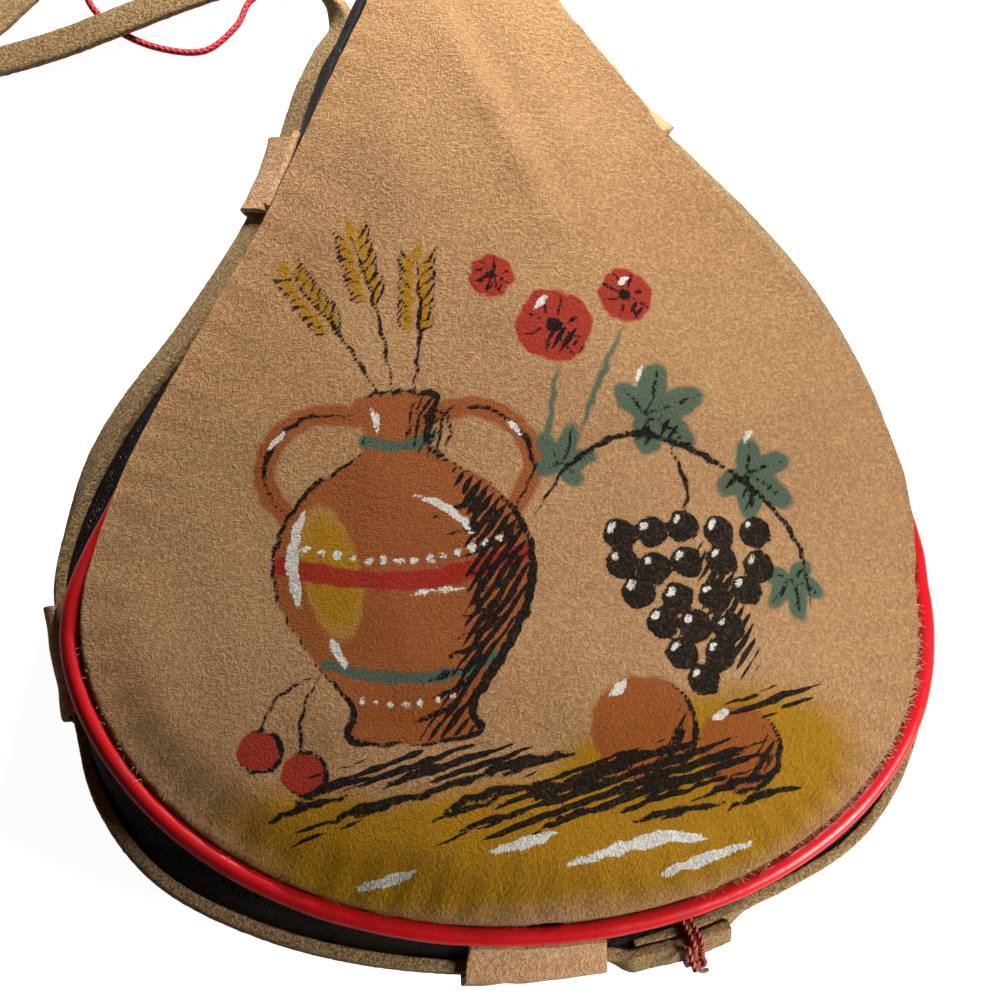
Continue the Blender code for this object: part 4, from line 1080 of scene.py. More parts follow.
JUG = [
    (-31, 116), (-22, 117.5), (-13, 116), (-15.5, 109), (-14, 103), (-3, 96), (4.5, 84),
    (4, 71), (-3, 58), (-10, 48), (-9, 42), (-22, 40), (-36, 42), (-35, 48),
    (-42, 58), (-49, 71), (-49.5, 84), (-42, 96), (-31, 103), (-29, 109),
]
HANDLES = (
    [(-30, 112), (-40, 113), (-48, 108), (-51, 99), (-46, 90)],
    [(-14, 112), (-4, 113), (4, 108), (7, 99), (2, 90)],
)
LEAVES = (((33, 110), 15, 20), ((55, 97), 13, -35), ((13, 99), 10, 70), ((63, 73), 10, -80))
POPPIES = (((14, 131), 9.5), ((31, 138), 7.0), ((1, 143), 5.5))
ORANGES = (((26, 41), 11.5), ((47, 36), 9.5))
CHERRIES = ((-55, 41), (-46, 36))
EARS = (((-25, 116), (-43, 147)), ((-22, 116), (-29, 155)), ((-18, 116), (-15, 148)))
VINE = [(6, 88), (16, 100), (30, 106), (45, 101), (58, 92), (66, 80), (67, 66)]
print("jug outline has", len(JUG), "points")


# %% Inks of the picture
def around(centre, reach, degrees):
    """Point at a distance from centre, in a direction."""
    angle = math.radians(degrees)
    return centre[0] + reach * math.cos(angle), centre[1] + reach * math.sin(angle)


def leaf(at, centre, size, turn):
    """Five lobes that spread from a leaf's stalk."""
    lobes = []
    for way, long in ((0, 1.0), (52, 0.86), (-52, 0.86), (112, 0.62), (-112, 0.62)):
        middle = around(centre, size * long * 0.48, turn + way)
        lobes.append(oval(at, middle, (size * long * 0.52, size * 0.23), turn + way))
    return united(*lobes)


def grape_places():
    rows = ((5, 84.0), (5, 76.5), (4, 69.5), (3, 62.5), (2, 55.8), (1, 49.8))
    return [
        (40 + (k - (n - 1) / 2) * 7.9 + 0.8 * math.sin(n * 3 + k), v + 0.9 * math.cos(k * 2 + v))
        for n, v in rows
        for k in range(n)
    ]


def ear_ways(start, end):
    """An ear's end, the way along it and the way to its side."""
    start, end = np.array(start, float), np.array(end, float)
    way = unit(end - start)
    return end, way, np.array((way[1], -way[0]))


def wheat_grains(at):
    grains = []
    for ear in EARS:
        end, way, aside = ear_ways(*ear)
        turn = math.degrees(math.atan2(way[1], way[0]))
        grains.append(oval(at, end + way * 1.6, (2.6, 1.2), turn))
        for k in range(6):
            for side in (1, -1):
                centre = end - way * (k * 2.7 + 1.0) + aside * side * 1.9
                grains.append(oval(at, centre, (2.5, 1.15), turn - side * 24))
    return united(*grains)


def ochre_ink(at):
    ground = united(
        oval(at, (0, 18.5), (60, 13.8), 3),
        oval(at, (34, 27), (42, 20), 15),
        oval(at, (-38, 22), (25, 9.5), -14),
    )
    glow = united(oval(at, (-38, 78), (8, 17), 8), oval(at, (-22, 46), (10, 4)))
    sunny = united(oval(at, (22, 46), (6, 4), 30), oval(at, (44, 40), (5, 3), 30))
    return united(ground, glow, sunny, 7 * wheat_grains(at))


def rust_ink(at):
    jug = filled(at, JUG)
    light = oval(at, (-38, 78), (6.0, 15.0), 8)
    handles = (stroke(at, line, 5.0, 0.1) for line in HANDLES)
    fruit = (oval(at, centre, (size, size * 0.96)) for centre, size in ORANGES)
    return united(without(jug, light), *handles, *fruit)


def shade_ink(at):
    jug = without(filled(at, JUG), oval(at, (-35, 84), (25, 46), 4)) - 0.8
    fruit = [
        without(oval(at, (x, v), (size, size)), oval(at, (x - 4, v + 4), (size * 0.9, size * 0.9)))
        for (x, v), size in ORANGES
    ]
    leaves = [np.maximum(leaf(at, *form), at[:, 1] - form[0][1] - 1) for form in LEAVES]
    petals = [oval(at, (x + 2, v - 3), (size * 0.7, size * 0.5), -20) for (x, v), size in POPPIES]
    grapes = oval(at, (47, 66), (7, 20), 12)
    return united(jug, *fruit, *leaves, *petals, grapes, oval(at, (-13, 110), (2.5, 7)))


def ground_ink(at):
    return united(
        oval(at, (-18, 35.5), (34, 5.4), 4),
        oval(at, (24, 30.5), (38, 8.0), 9),
        oval(at, (56, 46), (18, 4.6), 14),
        oval(at, (2, 22.5), (30, 4.0), 8),
        oval(at, (-44, 24), (14, 3.0), 10),
    )


def red_ink(at):
    petals = [
        oval(at, around(centre, size * 0.42, turn), (size * 0.62, size * 0.50), turn + 90)
        for centre, size in POPPIES
        for turn in (20, 110, 200, 290)
    ]
    band = stroke(at, [(-48, 80), (-30, 75.5), (-14, 75.5), (3, 80)], 4.2, 0.0)
    return united(band, *petals, *(oval(at, centre, (4.6, 4.3)) for centre in CHERRIES))


def teal_ink(at):
    leaves = [leaf(at, *form) for form in LEAVES]
    collar = stroke(at, [(-29, 106.5), (-22, 105), (-15, 106.5)], 3.0, 0.0)
    band = stroke(at, [(-40, 58), (-28, 54.5), (-14, 54.5), (-4, 58)], 2.6, 0.0)
    first_stem = stroke(at, [(14, 122), (11, 108), (8, 96)], 1.6)
    second_stem = stroke(at, [(30, 131), (22, 116), (17, 104)], 1.5)
    return united(*leaves, collar, band, first_stem, second_stem)


def white_ink(at):
    marks = [
        ([(-43, 92), (-46, 82), (-45, 70)], 2.6), ([(-39, 64), (-36, 57)], 2.0),
        ([(-27, 114), (-26, 108)], 1.6), ([(-22, 72), (-10, 73)], 1.1),
        ([(19, 48), (23, 51)], 2.2), ([(41, 42), (45, 44)], 1.9),
        ([(-8, 17), (6, 20)], 2.5), ([(8, 13.5), (28, 18), (38, 17.5)], 2.7),
        ([(28, 10.5), (48, 16)], 2.4), ([(-36, 11.5), (-24, 14)], 2.4),
        ([(10, 135), (13, 138)], 1.5), ([(29, 141), (32, 142)], 1.3),
        ([(-50, 106), (-46, 110)], 1.4), ([(5, 106), (2, 110)], 1.4),
        ([(-20, 94), (-12, 90), (-7, 84)], 1.7), ([(31, 117), (33, 121)], 1.2),
        ([(55, 103), (57, 107)], 1.1),
    ]
    shine = [oval(at, (x - 1.5, v + 1.6), (1.15, 0.8), 40) for x, v in grape_places()]
    band = smooth_line([(-46, 84.5), (-30, 80), (-14, 80), (1, 84.5)], steps=5)
    dots = [oval(at, centre, (0.95, 0.85)) for centre in band[1:-1]]
    foot = smooth_line([(-33, 50), (-24, 48.5), (-14, 50)], steps=3)
    dots += [oval(at, centre, (0.8, 0.75)) for centre in foot]
    return united(*(stroke(at, line, width) for line, width in marks), *shine, *dots)


def jug_lines():
    """Pen strokes as (points, width): outline, handles, and shading of the belly and neck."""
    lines = [(JUG[:6], 1.3), (JUG[5:12], 2.2), (JUG[11:15], 1.5), (JUG[14:], 1.0)]
    lines += [(line, 1.2) for line in HANDLES]
    for i in range(11):
        v = 92 - i * 4.4
        right = 3.5 - max(v - 84, 0) * 0.8 - max(70 - v, 0) * 0.62
        dash = [(right - 13 - (i % 3), v - 3.5), (right - 6, v - 1), (right - 0.8, v + 2.5)]
        lines.append((dash, 1.25))
    for i in range(6):
        dash = [(-21 + i * 1.7, 104 - i * 0.6), (-19 + i * 1.7, 110), (-18.5 + i, 115)]
        lines.append((dash, 0.8))
    return lines


def plant_lines():
    """Vine, leaf veins, stalks and beards of the wheat, and rays of the poppies."""
    lines = [(VINE, 1.5), ([(38, 103), (41, 94), (40, 88)], 1.3)]
    for start, end in EARS:
        middle = ((start[0] + end[0]) / 2 + 1, (start[1] + end[1]) / 2)
        lines.append(([start, middle, end], 1.0))
        tip, way, aside = ear_ways(start, end)
        for k in range(7):
            for out in (aside, -aside):
                root = tip - way * (k * 2.7 + 1.5) + out * 0.8
                beard = [root, root + way * 2.2 + out * 2.4, root + way * 5.0 + out * 3.4]
                lines.append((beard, 0.7))
    for (x, v), size, turn in LEAVES:
        for way, long in ((0, 0.9), (52, 0.75), (-52, 0.75), (112, 0.5), (-112, 0.5)):
            tip = around((x, v), size * long, turn + way)
            lines.append(([(x, v), ((x + tip[0]) / 2 + 0.5, (v + tip[1]) / 2), tip], 0.75))
    for (x, v), size in POPPIES:
        for angle in (math.radians(turn) for turn in range(15, 360, 45)):
            ray = [
                (x + size * k * math.cos(angle + k * 0.3), v + size * k * math.sin(angle))
                for k in (0.25, 0.5, 0.85)
            ]
            lines.append((ray, 0.75))
    return lines


def fruit_lines():
    """Rims and stalks of the cherries, and rims and shading of the oranges."""
    lines = []
    for x, v in CHERRIES:
        turns = np.linspace(-2.6, 2.0, 9)
        rim = [(x + 4.7 * math.cos(turn), v + 4.4 * math.sin(turn)) for turn in turns]
        lines += [(rim, 1.1), ([(x, v + 3), ((x - 46) / 2, v + 11), (-42, 56)], 0.9)]
    for (x, v), size in ORANGES:
        arc = [math.radians(turn) for turn in range(-110, 60, 28)]
        lines.append(([(x + size * math.cos(a), v + size * 0.96 * math.sin(a)) for a in arc], 1.5))
        for k in range(3):
            low = (x + size * 0.2 + k * 2, v - size * 0.75 + k)
            lines.append(([low, (x + size * 0.6 + k, v - 1 + k)], 0.9))
    return lines


def ground_lines():
    lines = []
    for i in range(17):
        x = -46 + i * 6.1
        v = 33 + 3.5 * math.sin(i * 1.9) - abs(i - 8) * 0.55
        lines.append(([(x - 8, v - 2.4), (x, v + 0.4), (x + 9, v + 1.8)], 1.7))
        if 4 < i < 14:
            lines.append(([(x - 5, v - 7), (x + 2, v - 5), (x + 10, v - 4.2)], 1.4))
    return lines


def black_ink(at):
    lines = jug_lines() + plant_lines() + fruit_lines() + ground_lines()
    dots = [oval(at, centre, (size * 0.2, size * 0.18)) for centre, size in POPPIES]
    grapes = [oval(at, (x, v), (3.75, 3.6)) for x, v in grape_places()]
    return united(*(stroke(at, line, width) for line, width in lines), *dots, *grapes)


print("bunch has", len(grape_places()), "grapes")


# %% Front panel: mesh and inks
def close_behind(bm, inner):
    """Give an open sheet a plainer inner side, joined to it all round its edge."""
    rim = [e for e in bm.edges if e.is_boundary]
    made = laid_grid(bm, inner)
    inner_rim = list({e for vert in made for e in vert.link_edges if e.is_boundary})
    bmesh.ops.bridge_loops(bm, edges=rim + inner_rim)
    bmesh.ops.recalc_face_normals(bm, faces=bm.faces)


def grid_normals(points):
    across = np.gradient(points, axis=1)
    return unit(np.cross(across, np.gradient(points, axis=0)))


inner_q = even_places(0.03, 1.0, 40)
inner_u = np.linspace(-1, 1, 26)
plain = panel_point(inner_q[:, None], inner_u[None, :], True)
inner = plain - grid_normals(plain) * LEATHER
inner[..., 2] = np.minimum(inner[..., 2], plain[..., 2] - 0.0004)

bm = sheet(front, CORE)
close_behind(bm, inner)
front_panel = finish_piece(
    "front_panel", "suede", bm, front_suede, sharp=math.radians(60)
)
spots = np.empty(len(front_panel.data.vertices) * 3, np.float32)
front_panel.data.vertices.foreach_get("co", spots)
spots = spots.reshape(-1, 3).astype(float) + (0, MIDDLE_V, 0)
at = spots[:, :2] * 1000
at = at + 0.28 * np.stack((wander(at, 5.0, 21), wander(at, 5.0, 22)), -1)
for name, draw in (
    ("ochre", ochre_ink),
    ("rust", rust_ink),
    ("red", red_ink),
    ("teal", teal_ink),
    ("white", white_ink),
    ("black", black_ink),
    ("shade", shade_ink),
    ("ground", ground_ink),
):
    away = np.clip(draw(at), -6, 6)
    away[spots[:, 2] < 0.031] = 6
    ink = front_panel.data.attributes.new("ink_" + name, "FLOAT", "POINT")
    ink.data.foreach_set("value", away.astype(np.float32))
    print("ink", name, "covers", int((away < 0).sum()), "points")

# %% [markdown]
# The side band and the back are plain sheets with a wall behind them. The band bulges
# between its two seams, and it creases where the bag is pressed. The back is flat where
# the bag rests on it.

# %% Side band and back
band_q = even_places(-1, 1, 620)
band_rise = np.linspace(-1, 1, 26)
band = band_point(band_q[:, None], band_rise[None, :])
soft = (1 - ease(0.205, 0.235, band[..., 1])) * (1 - np.abs(band_rise) ** 3)[None, :]
push = 0.00055 * wander(band, 0.030, 31) + 0.00022 * wander(band, 0.009, 32)
held = 1 - ease(0.36, 0.66, np.abs(band_rise))[None, :]
push = push * (1 - held) + (0.00020 - taut(band_q)[:, None]) * held
sagging = ease(-0.68, -0.58, band_q) * (1 - ease(-0.49, -0.44, band_q)) + lap_share(band_q)
push += 0.0030 * sagging[:, None] * hump(0.30 - np.minimum(band_rise, 0.30), 0.75, 2)[None, :]
band = band + outline_normal(band_q)[:, None] * (push * soft)[..., None]
side_band = finish_piece(
    "side_gusset", "leather", sheet(band, CORE), black_leather
)
give_wall(side_band, LEATHER)

back_q = even_places(0.02, 1.0, 150)
back_u = np.linspace(-1, 1, 110)
back = panel_point(back_q[:, None], back_u[None, :], False)
raised = np.clip(back[..., 2] / 0.004, 0, 1) * (1 - ease(0.205, 0.235, back[..., 1]))
back[..., 2] += 0.0004 * raised * np.abs(wander(back, 0.026, 33))
back_panel = finish_piece(
    "back_panel", "leather", sheet(back, CORE), black_leather
)
give_wall(back_panel, LEATHER)

# %% [markdown]
# A glossy red piping cord is sewn into each seam. The stitches press it a little, so its
# path and thickness wander by a fraction of a millimetre. On the upper half the front's
# cord is pushed under the suede.

# %% Piping
piping_end = q_at_v(NECK_V - GAP, 1)
piping_q = even_places(-piping_end, piping_end, 760)
for is_front, node in ((True, "front_piping"), (False, "back_piping")):
    path = seam_point(piping_q, is_front)
    if is_front:
        tucked = ease(0.065, 0.110, path[:, 1]) * (1 - ease(0.214, 0.237, path[:, 1]))
        path = path - outline_normal(piping_q) * (0.0022 * tucked)[:, None]
        path[:, 2] -= 0.0011 * tucked
    path[:, 2] += 0.00012 * wander(path, 0.024, 41)
    across, up = untwisted(path)
    pressed = 1 + 0.018 * wander(path, 0.011, 42)
    rings = rings_along(
        path, across, up, round_section(PIPING, 18)[None] * pressed[:, None, None]
    )
    finish_piece(node, "cord", rolled(rings), piping_plastic)

# %% [markdown]
# Round the bag, the strap's two ends run along the band, lap over each other at the
# bottom right, and are tied there, where both lean back. Five suede loops hold them. Each
# loop starts at the front seam, passes over the strap, and comes back to the band under it.

# %% Strap runs
OUTER_END_X = 0.0430
INNER_END_X = 0.0235
TIE_RADIUS = 0.0006
TIE_ROOM = 2 * TIE_RADIUS + GAP
SKIVED = 0.62
lap_q = [q_at_x(x) for x in (0.0172, 0.0232, 0.0330, 0.0345, 0.0375, 0.0445)]


def inner_thickness(q):
    """The inner layer is skived, so that it thins out towards its end."""
    return STRAP_THICKNESS * (SKIVED + (1 - SKIVED) * ease(lap_q[1], lap_q[3], q))


def lap_lift(q, outer):
    """How far the middle of a strap run stands off its usual place on the band."""
    v = outline_v(q)
    lift = 0.2 * TIE_ROOM * (ease(lap_q[1], lap_q[2], q) - ease(lap_q[4], lap_q[5], q))
    lift = lift - GAP * (1 - ease(0.170, 0.200, v))
    if outer:
        return lift + ease(lap_q[0], lap_q[1], q) * (inner_thickness(q) + GAP / 2)
    return lift - (STRAP_THICKNESS - inner_thickness(q)) / 2 * (q > 0)


for node, low, high, outer, seed in (
    ("strap_left_run", q_at_v(LEFT_RUN_TOP_V + GAP, -1), q_at_x(OUTER_END_X), True, 12),
    ("strap_right_run", q_at_x(INNER_END_X), q_at_v(RIGHT_RUN_TOP_V + GAP, 1), False, 13),
):
    run_q = even_places(low, high, 430 if outer else 330)
    middle, across, face = strap_frame(run_q, lap_lift(run_q, outer))
    section = np.repeat(strap_section(STRAP_WIDTH, STRAP_THICKNESS)[None], len(run_q), axis=0)
    if not outer:
        section[..., 1] *= (inner_thickness(run_q) / STRAP_THICKNESS)[:, None]
    rings = rings_along(middle, across, face, section)
    run_bm = rolled(nap_rings(rings, NAP_DEPTH, seed))
    finish_piece(node, "suede", run_bm, strap_suede)

# %% Strap loops
LOOP_THICKNESS = 0.0015
LOOP_SEAM = 0.92
LOOP_HEM = 0.59
LOOP_SEAT = 0.0008
LOOP_EDGE = 0.00045
LOOPS = (
    ("upper_left_strap_loop", q_at_v(NECK_V - 0.0582, -1), 0.0202),
    ("lower_left_strap_loop", q_at_v(0.0645, -1), 0.0205),
    ("bottom_strap_loop", q_at_x(0.0020), 0.0300),
    ("lower_right_strap_loop", q_at_v(0.0665, 1), 0.0230),
    ("upper_right_strap_loop", q_at_v(NECK_V - 0.0415, 1), 0.0230),
)


def loop_line(q):
    """Corners of a loop's section, from the front seam over the strap and back to the band."""
    q = np.array([q])
    middle, across, face = (part[0] for part in strap_frame(q))
    out = outline_normal(q)[0]
    wide = across * (STRAP_WIDTH / 2 + GAP)
    near = face * (STRAP_THICKNESS / 2 - LOOP_SEAT)
    far = face * (STRAP_THICKNESS / 2 + GAP)
    seat = out * LOOP_SEAT
    base = band_point(q, np.array([0.0]))[0][2]
    half_height = band_point(q, np.array([1.0]))[0][2] - base
    low = middle - wide - face * STRAP_THICKNESS / 2
    under = (low[2] - base) / half_height
    hem = under - (LOOP_SEAM + under) * LOOP_HEM
    ends = [band_point(q, np.array([rise]))[0] + seat for rise in (LOOP_SEAM, hem, -LOOP_SEAM)]
    over = [middle + wide - near, middle + wide + far, middle - wide + far, low]
    return ends[:1] + over + ends[1:]


def softened(corners, count, turns=3):
    """Even points along a line of corners, with its corners rounded off."""
    line = evenly(np.array(corners), count)
    for _ in range(turns):
        line[1:-1] = line[1:-1] / 2 + (line[:-2] + line[2:]) / 4
    return line


for node, middle_q, long in LOOPS:
    probe = outline_at(np.array([middle_q - 0.0005, middle_q + 0.0005]))
    reach = long * 0.0005 / np.linalg.norm(probe[1] - probe[0])
    stations = middle_q + reach * np.linspace(-1, 1, 33)
    strip = np.array([softened(loop_line(q), 46) for q in stations])
    ends = np.abs(np.linspace(-1, 1, 33)) ** 6
    out = outline_normal(stations)[:, None]
    flare = out * (0.00020 * ends)[:, None, None]
    strip += flare + 0.00012 * wander(strip, 0.008, 51)[..., None] * out
    centre = band_point(np.array([middle_q]), np.array([0.0]))[0]
    centre = centre - outline_normal(np.array([middle_q]))[0] * BELLY_HALF / 2
    loop = finish_piece(node, "suede", sheet(strip, centre), loop_suede)
    give_wall(loop, LOOP_THICKNESS, side=1)
    soften_edges(loop, LOOP_EDGE, 3)

# %% [markdown]
# A twisted thread ties the lapped ends: two turns round both layers, a lumpy knot on the
# outer face, and a short tail.

# %% Strap tie
TIE_X = 0.0350
TIE_SIDES = 10
tie_q = np.array([q_at_x(TIE_X)])
tie_frame = strap_frame(tie_q, lap_lift(tie_q, False))
inner_layer, tie_across, tie_out = (part[0] for part in tie_frame)
outer_layer = strap_frame(tie_q, lap_lift(tie_q, True))[0][0]
tie_middle = (inner_layer + outer_layer) / 2
tie_along = unit(np.cross(tie_out, tie_across))
room = GAP + TIE_RADIUS
half_width = STRAP_WIDTH / 2 + room
half_depth = STRAP_THICKNESS + GAP / 2 + room
corners = []
for i in range(10):
    wide, deep = ((-1, 1), (1, 1), (1, -1), (-1, -1))[i % 4]
    step = (i / 4 - 1) * (2 * TIE_RADIUS + 0.0005)
    corner = tie_across * half_width * wide + tie_out * half_depth * deep
    corners.append(tie_middle + corner + tie_along * step)
tail = corners[-1] + unit(tie_out * 2 - tie_across) * 0.005
loops = softened(corners, 170, 6)
tie_path = np.vstack((loops, even_path([loops[-1], tail], 0.0005)[1:]))
tie_bm = cord_bm(tie_path, TIE_RADIUS, TIE_SIDES)
knot_middle = tie_middle + tie_out * (half_depth + 0.0007) - tie_across * 0.0024
turn = np.linspace(0, math.tau, 120)[:-1]
knot = knot_middle + 0.0011 * (
    (np.sin(turn) + 1.6 * np.sin(2 * turn))[:, None] * tie_along * 0.62
    + (np.cos(turn) - 1.6 * np.cos(2 * turn))[:, None] * tie_across * 0.62
    - np.sin(3 * turn)[:, None] * tie_out * 0.85
)
knot_bm = cord_bm(np.vstack((knot, knot[:2])), TIE_RADIUS * 0.95, TIE_SIDES)
tail_route = [
    knot_middle,
    knot_middle - tie_across * 0.0030 + tie_out * 0.0006 - tie_along * 0.0009,
    knot_middle - tie_across * 0.0062 - tie_out * 0.0004 - tie_along * 0.0030,
]
tail_bm = cord_bm(even_path(tail_route, 0.0004), TIE_RADIUS * 0.9, TIE_SIDES)
finish_piece("strap_tie", "thread", joined(tie_bm, knot_bm, tail_bm), tie_thread)

# %% [markdown]
# The collar, nozzle, washer, cap and seal are turned parts. Each is a profile of radius
# and height, turned round the neck's axis. Screw threads are part of the same turning: a
# point on a thread moves in or out with its angle and height.

# %% Turned parts
TURN_STEPS = 96
GRIP_DEPTH = 0.0005
THREAD_MATCH = 3e-5


def turned(profile, threads=(), grip=None, closed=True, sides=TURN_STEPS):
    """Rings round the neck's axis.

    A thread is (mean radius, low, high, pitch, depth), and a grip's ribs are (radius, low,
    high, depth, count).
    """
    profile = np.array(profile + profile[:1] if closed else profile, float)
    radius = np.repeat(profile[None, :, 0], sides + 1, axis=0)
    height = np.repeat(profile[None, :, 1], sides + 1, axis=0)
    angle = (np.arange(sides + 1) % sides * math.tau / sides)[:, None]

    def on(mean, low, high):
        """Points of a stretch of the profile that has one radius."""
        inside = (height > low - THREAD_MATCH) & (height < high + THREAD_MATCH)
        return inside & (np.abs(radius - mean) < THREAD_MATCH)

    for mean, low, high, rise, depth in threads:
        wave = np.clip(1.5 * np.cos(math.tau * (height - low) / rise - angle), -1, 1)
        radius = np.where(on(mean, low, high), radius + depth / 2 * wave, radius)
    if grip:
        mean, low, high, depth, ribs = grip
        groove = np.clip(0.5 - 0.9 * np.cos(angle * ribs), 0, 1)
        radius = np.where(on(mean, low, high), radius - depth * groove, radius)
    return round_neck(-angle, radius, height)


def thread_rows(thread):
    """Profile points that are close enough to each other for a thread."""
    radius, low, high, pitch, _ = thread
    count = math.ceil((high - low) / pitch * 14)
    return [(radius, low + (high - low) * i / count) for i in range(count + 1)]


def stepped(start, end, count):
    """Points from one profile point to another, without the last."""
    return [tuple(start + (np.array(end) - start) * i / count) for i in range(count)]


COLLAR = 0.0100
COLLAR_BORE = 0.0080
COLLAR_THREAD = (0.0105, 0.0025, 0.0115, 0.0030, 0.0010)
flange = NECK_RADIUS + 0.0008
profile = [(COLLAR_BORE, -0.0170), (COLLAR, -0.0170), (COLLAR, GAP), (flange - 0.0003, GAP)]
profile += [(flange, GAP + 0.0003), (flange, 0.0022), (flange - 0.0003, 0.0025)]
profile += thread_rows(COLLAR_THREAD)
profile += [(COLLAR - 0.0006, 0.0121), (COLLAR_BORE, 0.0121)]
collar_bm = rolled(turned(profile, [COLLAR_THREAD]))
finish_piece("neck_collar", "moulded", collar_bm, black_plastic)

# %% Nozzle and washer
NOZZLE = 0.01365
NOZZLE_THREAD = (0.01095, 0.0028, 0.0136, 0.0030, 0.0010)
SEAT_THREAD = (0.0043, 0.0334, 0.0414, 0.0020, 0.0006)
foot = SEAT_THREAD[0] + 0.0003 + 0.0008
cone = [(i / 24, (1 - i / 24) ** 1.7) for i in range(25)]
profile = thread_rows(NOZZLE_THREAD)[::-1]
profile += [(NOZZLE - 0.0003, 0.0028), (NOZZLE, 0.0031)]
profile += stepped(np.array((NOZZLE, 0.0034)), (NOZZLE, 0.0152), 10)
profile += [(NOZZLE, 0.0152), (NOZZLE, 0.0160), (NOZZLE - 0.0004, 0.0164)]
profile += [(foot + (NOZZLE - 0.0022 - foot) * w, 0.0164 + 0.0140 * s) for s, w in cone]
profile += [(foot, 0.0331), (foot - 0.0003, 0.0334)]
profile += thread_rows(SEAT_THREAD)
profile += [(0.0034, 0.0420), (0.0010, 0.0420), (0.0010, 0.0390), (0.0018, 0.0390)]
profile += [(0.0018 + (COLLAR_BORE - 0.0018) * w, 0.0142 + 0.0140 * s) for s, w in cone[::-1]]
profile += [(0.01145, 0.0142)]
nozzle_grip = (NOZZLE, 0.0034, 0.0152, GRIP_DEPTH, 36)
nozzle_bm = rolled(turned(profile, [NOZZLE_THREAD, SEAT_THREAD], nozzle_grip, sides=216))
finish_piece("nozzle", "moulded", nozzle_bm, nozzle_plastic, "nozzle")
washer = [(0.0083, 0.0124), (0.01005, 0.0124), (0.01005, 0.0139), (0.0083, 0.0139)]
washer_piece = finish_piece(
    "nozzle_washer", "rubber", rolled(turned(washer)), rubber, "washer"
)
soften_edges(washer_piece, 0.0002)

# %% Cap, seal and eye
CAP = 0.00665
CAP_THREAD = (0.00475, 0.0337, 0.0420, 0.0020, 0.0006)
groove = CAP - 0.0007
profile = [(0.0, 0.0458)] + stepped(np.array((0.0005, 0.0458)), (CAP - 0.0008, 0.0458), 6)
profile += [(CAP - 0.0008, 0.0458), (CAP - 0.0003, 0.0456), (CAP, 0.0450)]
profile += stepped(np.array((CAP, 0.0446)), (CAP, 0.0383), 8)
profile += [(CAP, 0.0379), (CAP - 0.0002, 0.0371), (groove, 0.0371), (groove, 0.0349)]
profile += [(CAP, 0.0349), (CAP, 0.0340), (CAP - 0.0003, 0.0337)]
profile += thread_rows(CAP_THREAD) + [(0.00505, 0.0438), (0.0, 0.0438)]
cap_grip = (CAP, 0.0383, 0.0446, GRIP_DEPTH, 20)
cap_bm = rolled(turned(profile, [CAP_THREAD], cap_grip, closed=False, sides=160))
finish_piece("cap", "moulded", cap_bm, black_plastic, "cap")
seal = [(0.0, 0.0435), (0.0038, 0.0435), (0.0040, 0.0433), (0.0040, 0.0425), (0.0038, 0.0423)]
seal_bm = rolled(turned(seal + [(0.0, 0.0423)], closed=False))
finish_piece("cap_seal", "rubber", seal_bm, rubber, "seal")

ring = [(0.00625, 0.0352), (0.00825, 0.0352), (0.00825, 0.0368), (0.00625, 0.0368)]
sleeve = [(0.00135, 0.0330), (0.00275, 0.0330), (0.00275, 0.0390), (0.00135, 0.0390)]
sleeve_bm = rolled(turned(sleeve, sides=48) - (EYE_REACH, 0, 0))
eye_bm = joined(rolled(turned(ring)), sleeve_bm)
eye_piece = finish_piece(
    "cap_tether_eye", "moulded", eye_bm, black_plastic, "cap_eye"
)
soften_edges(eye_piece, 0.00025, 3)

# %% [markdown]
# The latex liner can only be seen through the neck, but the bag holds its wine in it, so
# it has its full shape too: a flat bladder that narrows into the neck.

# %% Latex liner
LINER_ROOM = 0.0060
LINER_WALL = 0.0010
liner_q = even_places(q_where(lambda q: float(outline_v(q)) > 0.0012), 1.0, 90)


def liner_ring(q, sides=64):
    v = float(outline_v(q, LINER_ROOM))
    half = float(outline_half(q, LINER_ROOM))
    reach = math.sqrt(1 - (1 - min(v / 0.045, 1)) ** 2)
    dome = math.sqrt(1 - (1 - min(v / FRONT_DOME_REACH, 1)) ** 2)
    low, high = LEATHER + GAP, FRONT_SEAM + FRONT_DOME * dome - LEATHER - GAP
    angle = np.arange(sides + 1) % sides * math.tau / sides
    body_z = (low + high) / 2 + (high - low) / 2 * reach * np.sin(angle)
    body = place(float(lean(v)) + half * np.cos(angle), v, body_z)
    neck = NECK_RADIUS - LEATHER - GAP
    tube = place(neck * np.cos(angle), v, NECK_HEIGHT + neck * np.sin(angle))
    return body + (tube - body) * float(ease(NECK_MORPH, 0.97, shoulder_share(v)))


liner = np.array([liner_ring(q) for q in liner_q])
liner_bm = new_bmesh()
laid_grid(liner_bm, liner)
bmesh.ops.remove_doubles(liner_bm, verts=liner_bm.verts, dist=WELD)
low_rim = [e for e in liner_bm.edges if e.is_boundary and e.verts[0].co.y < BELLY_HEIGHT]
bmesh.ops.holes_fill(liner_bm, edges=low_rim, sides=0)
liner_piece = finish_piece("latex_liner", "dipped", face_away(liner_bm, CORE), latex)
give_wall(liner_piece, LINER_WALL)

# %% [markdown]
# At the lower right, loose fibres of the suede's cut edge stand out over the piping.
# Each is a thin tapered sweep with three sides, and there are 1,500 of them.

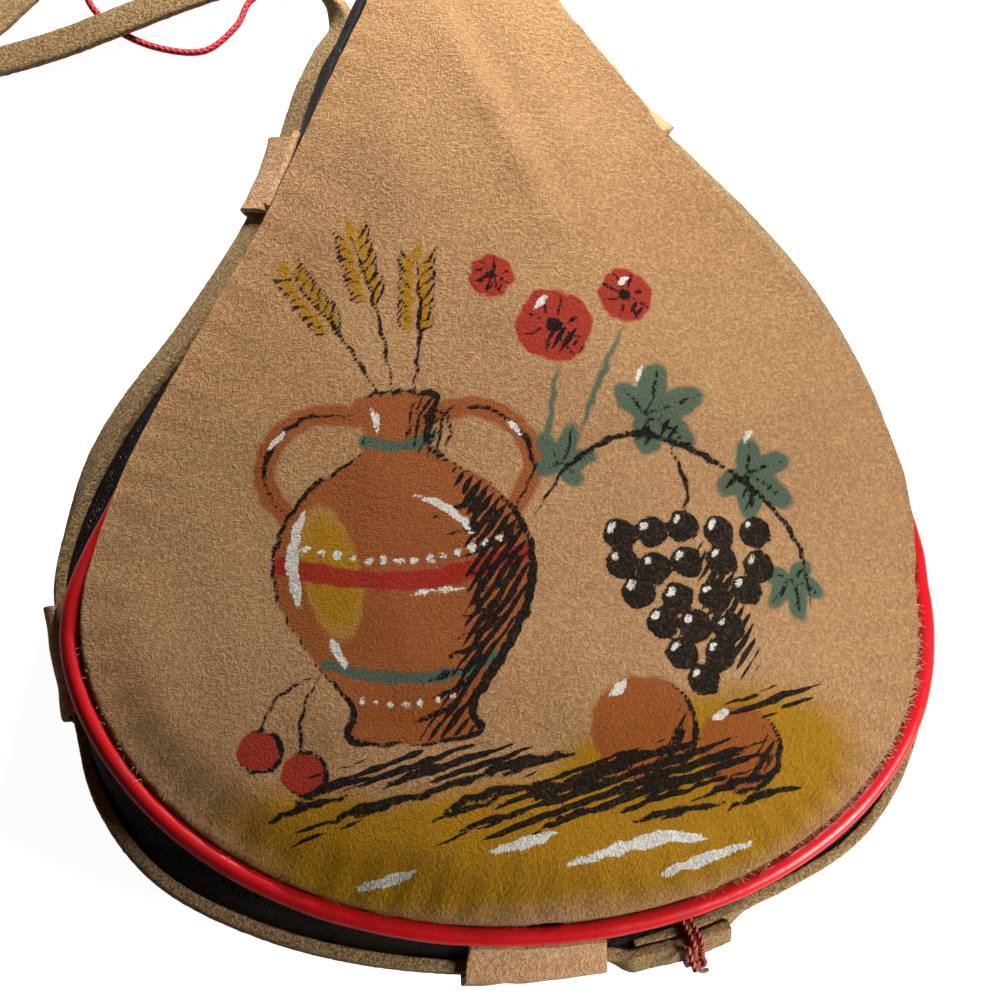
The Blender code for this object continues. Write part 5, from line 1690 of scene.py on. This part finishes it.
# %% Fibres over the piping
FIBRES = 1500
rng = np.random.default_rng(61)
fibres = new_bmesh()
for _ in range(FIBRES):
    q = rng.uniform(0.10, 0.55) if rng.random() < 0.93 else rng.uniform(-0.45, 0.10)
    root_q = np.array([q])
    out = outline_normal(root_q)[0]
    tangent = np.cross(out, UP)
    root = outline_at(root_q)[0] - out * rng.uniform(0.0024, 0.0042)
    root[2] = FRONT_SEAM + rng.uniform(0.0006, 0.0016)
    long = rng.uniform(0.0006, 0.0014) + 0.0014 * rng.random() ** 4
    lean_way = rng.normal(0, 0.55)
    t = np.linspace(0, 1, 5)[:, None]
    drift = out + tangent * lean_way
    line = root + drift * long * t + UP * (0.0022 * t - 0.0011 * t**2 * rng.uniform(0.6, 1.4))
    line += tangent * rng.normal(0, 0.0003) * t**2
    across, up = untwisted(line)
    thin = (0.000075 * (1 - 0.8 * t))[:, None]
    laid_grid(fibres, rings_along(line, across, up, round_section(1.0, 3)[None] * thin))
bmesh.ops.remove_doubles(fibres, verts=fibres.verts, dist=2e-8)
bmesh.ops.holes_fill(fibres, edges=fibres.edges, sides=3)
bmesh.ops.recalc_face_normals(fibres, faces=fibres.faces)
finish_piece("nap_fringe", "suede", fibres, fringe_suede_painted_light, added=True)

# %% [markdown]
# The bag lies on a plain pale table. Two small softboxes stand low and near, one beyond
# the neck and one at the lower right, so that the light falls off towards the lower left and
# shows the nap. The surrounding is dim, except where the camera sees it directly.


# %% Table
def make_table():
    material, tree, shader, coords = start_material("table_white", Roughness=0.9)
    shader.inputs["Base Color"].default_value = (0.6, 0.6, 0.6, 1)
    shader.inputs["Specular IOR Level"].default_value = 0.2
    seen_directly = wire(tree, "LightPath").outputs["Is Camera Ray"]
    shader.inputs["Emission Color"].default_value = (1, 1, 1, 1)
    glow = times(tree, seen_directly, 0.96)
    tree.links.new(glow, shader.inputs["Emission Strength"])
    return material


table_bm = bmesh.new()
bmesh.ops.create_grid(table_bm, x_segments=2, y_segments=2, size=2.5)
table_mesh = bpy.data.meshes.new("table")
table_bm.to_mesh(table_mesh)
table_bm.free()
table_mesh.materials.append(make_table())
table = placed("table", table_mesh)
print("table at height 0")


# %% Light
def add_softbox(name, azimuth, elevation, distance, size, power):
    lamp = bpy.data.lights.new(name, "AREA")
    lamp.shape = "DISK"
    lamp.size = size
    lamp.energy = power
    holder = placed(name, lamp)
    a, e = math.radians(azimuth), math.radians(elevation)
    way = Vector((math.sin(a) * math.cos(e), math.cos(a) * math.cos(e), math.sin(e)))
    holder.location = VIEW_TARGET + way * distance
    holder.rotation_euler = way.to_track_quat("Z", "Y").to_euler()


add_softbox("neck_light", 8, 27, 0.31, 0.10, 1.55)
add_softbox("foot_light", 128, 27, 0.345, 0.11, 1.22)
world = bpy.data.worlds.new("studio")
world.use_nodes = True
backdrop = world.node_tree.nodes["Background"]
seen_directly = wire(world.node_tree, "LightPath").outputs["Is Camera Ray"]
shade = mixed(world.node_tree, seen_directly, (1, 0.72, 0.45, 1), (1, 1, 1, 1))
world.node_tree.links.new(shade, backdrop.inputs["Color"])
world.node_tree.links.new(
    between(world.node_tree, seen_directly, 0.0, 1.0, 0.030, 1.0), backdrop.inputs["Strength"]
)
bpy.context.scene.world = world
bpy.context.scene.view_settings.view_transform = "Standard"
print("lights are set")
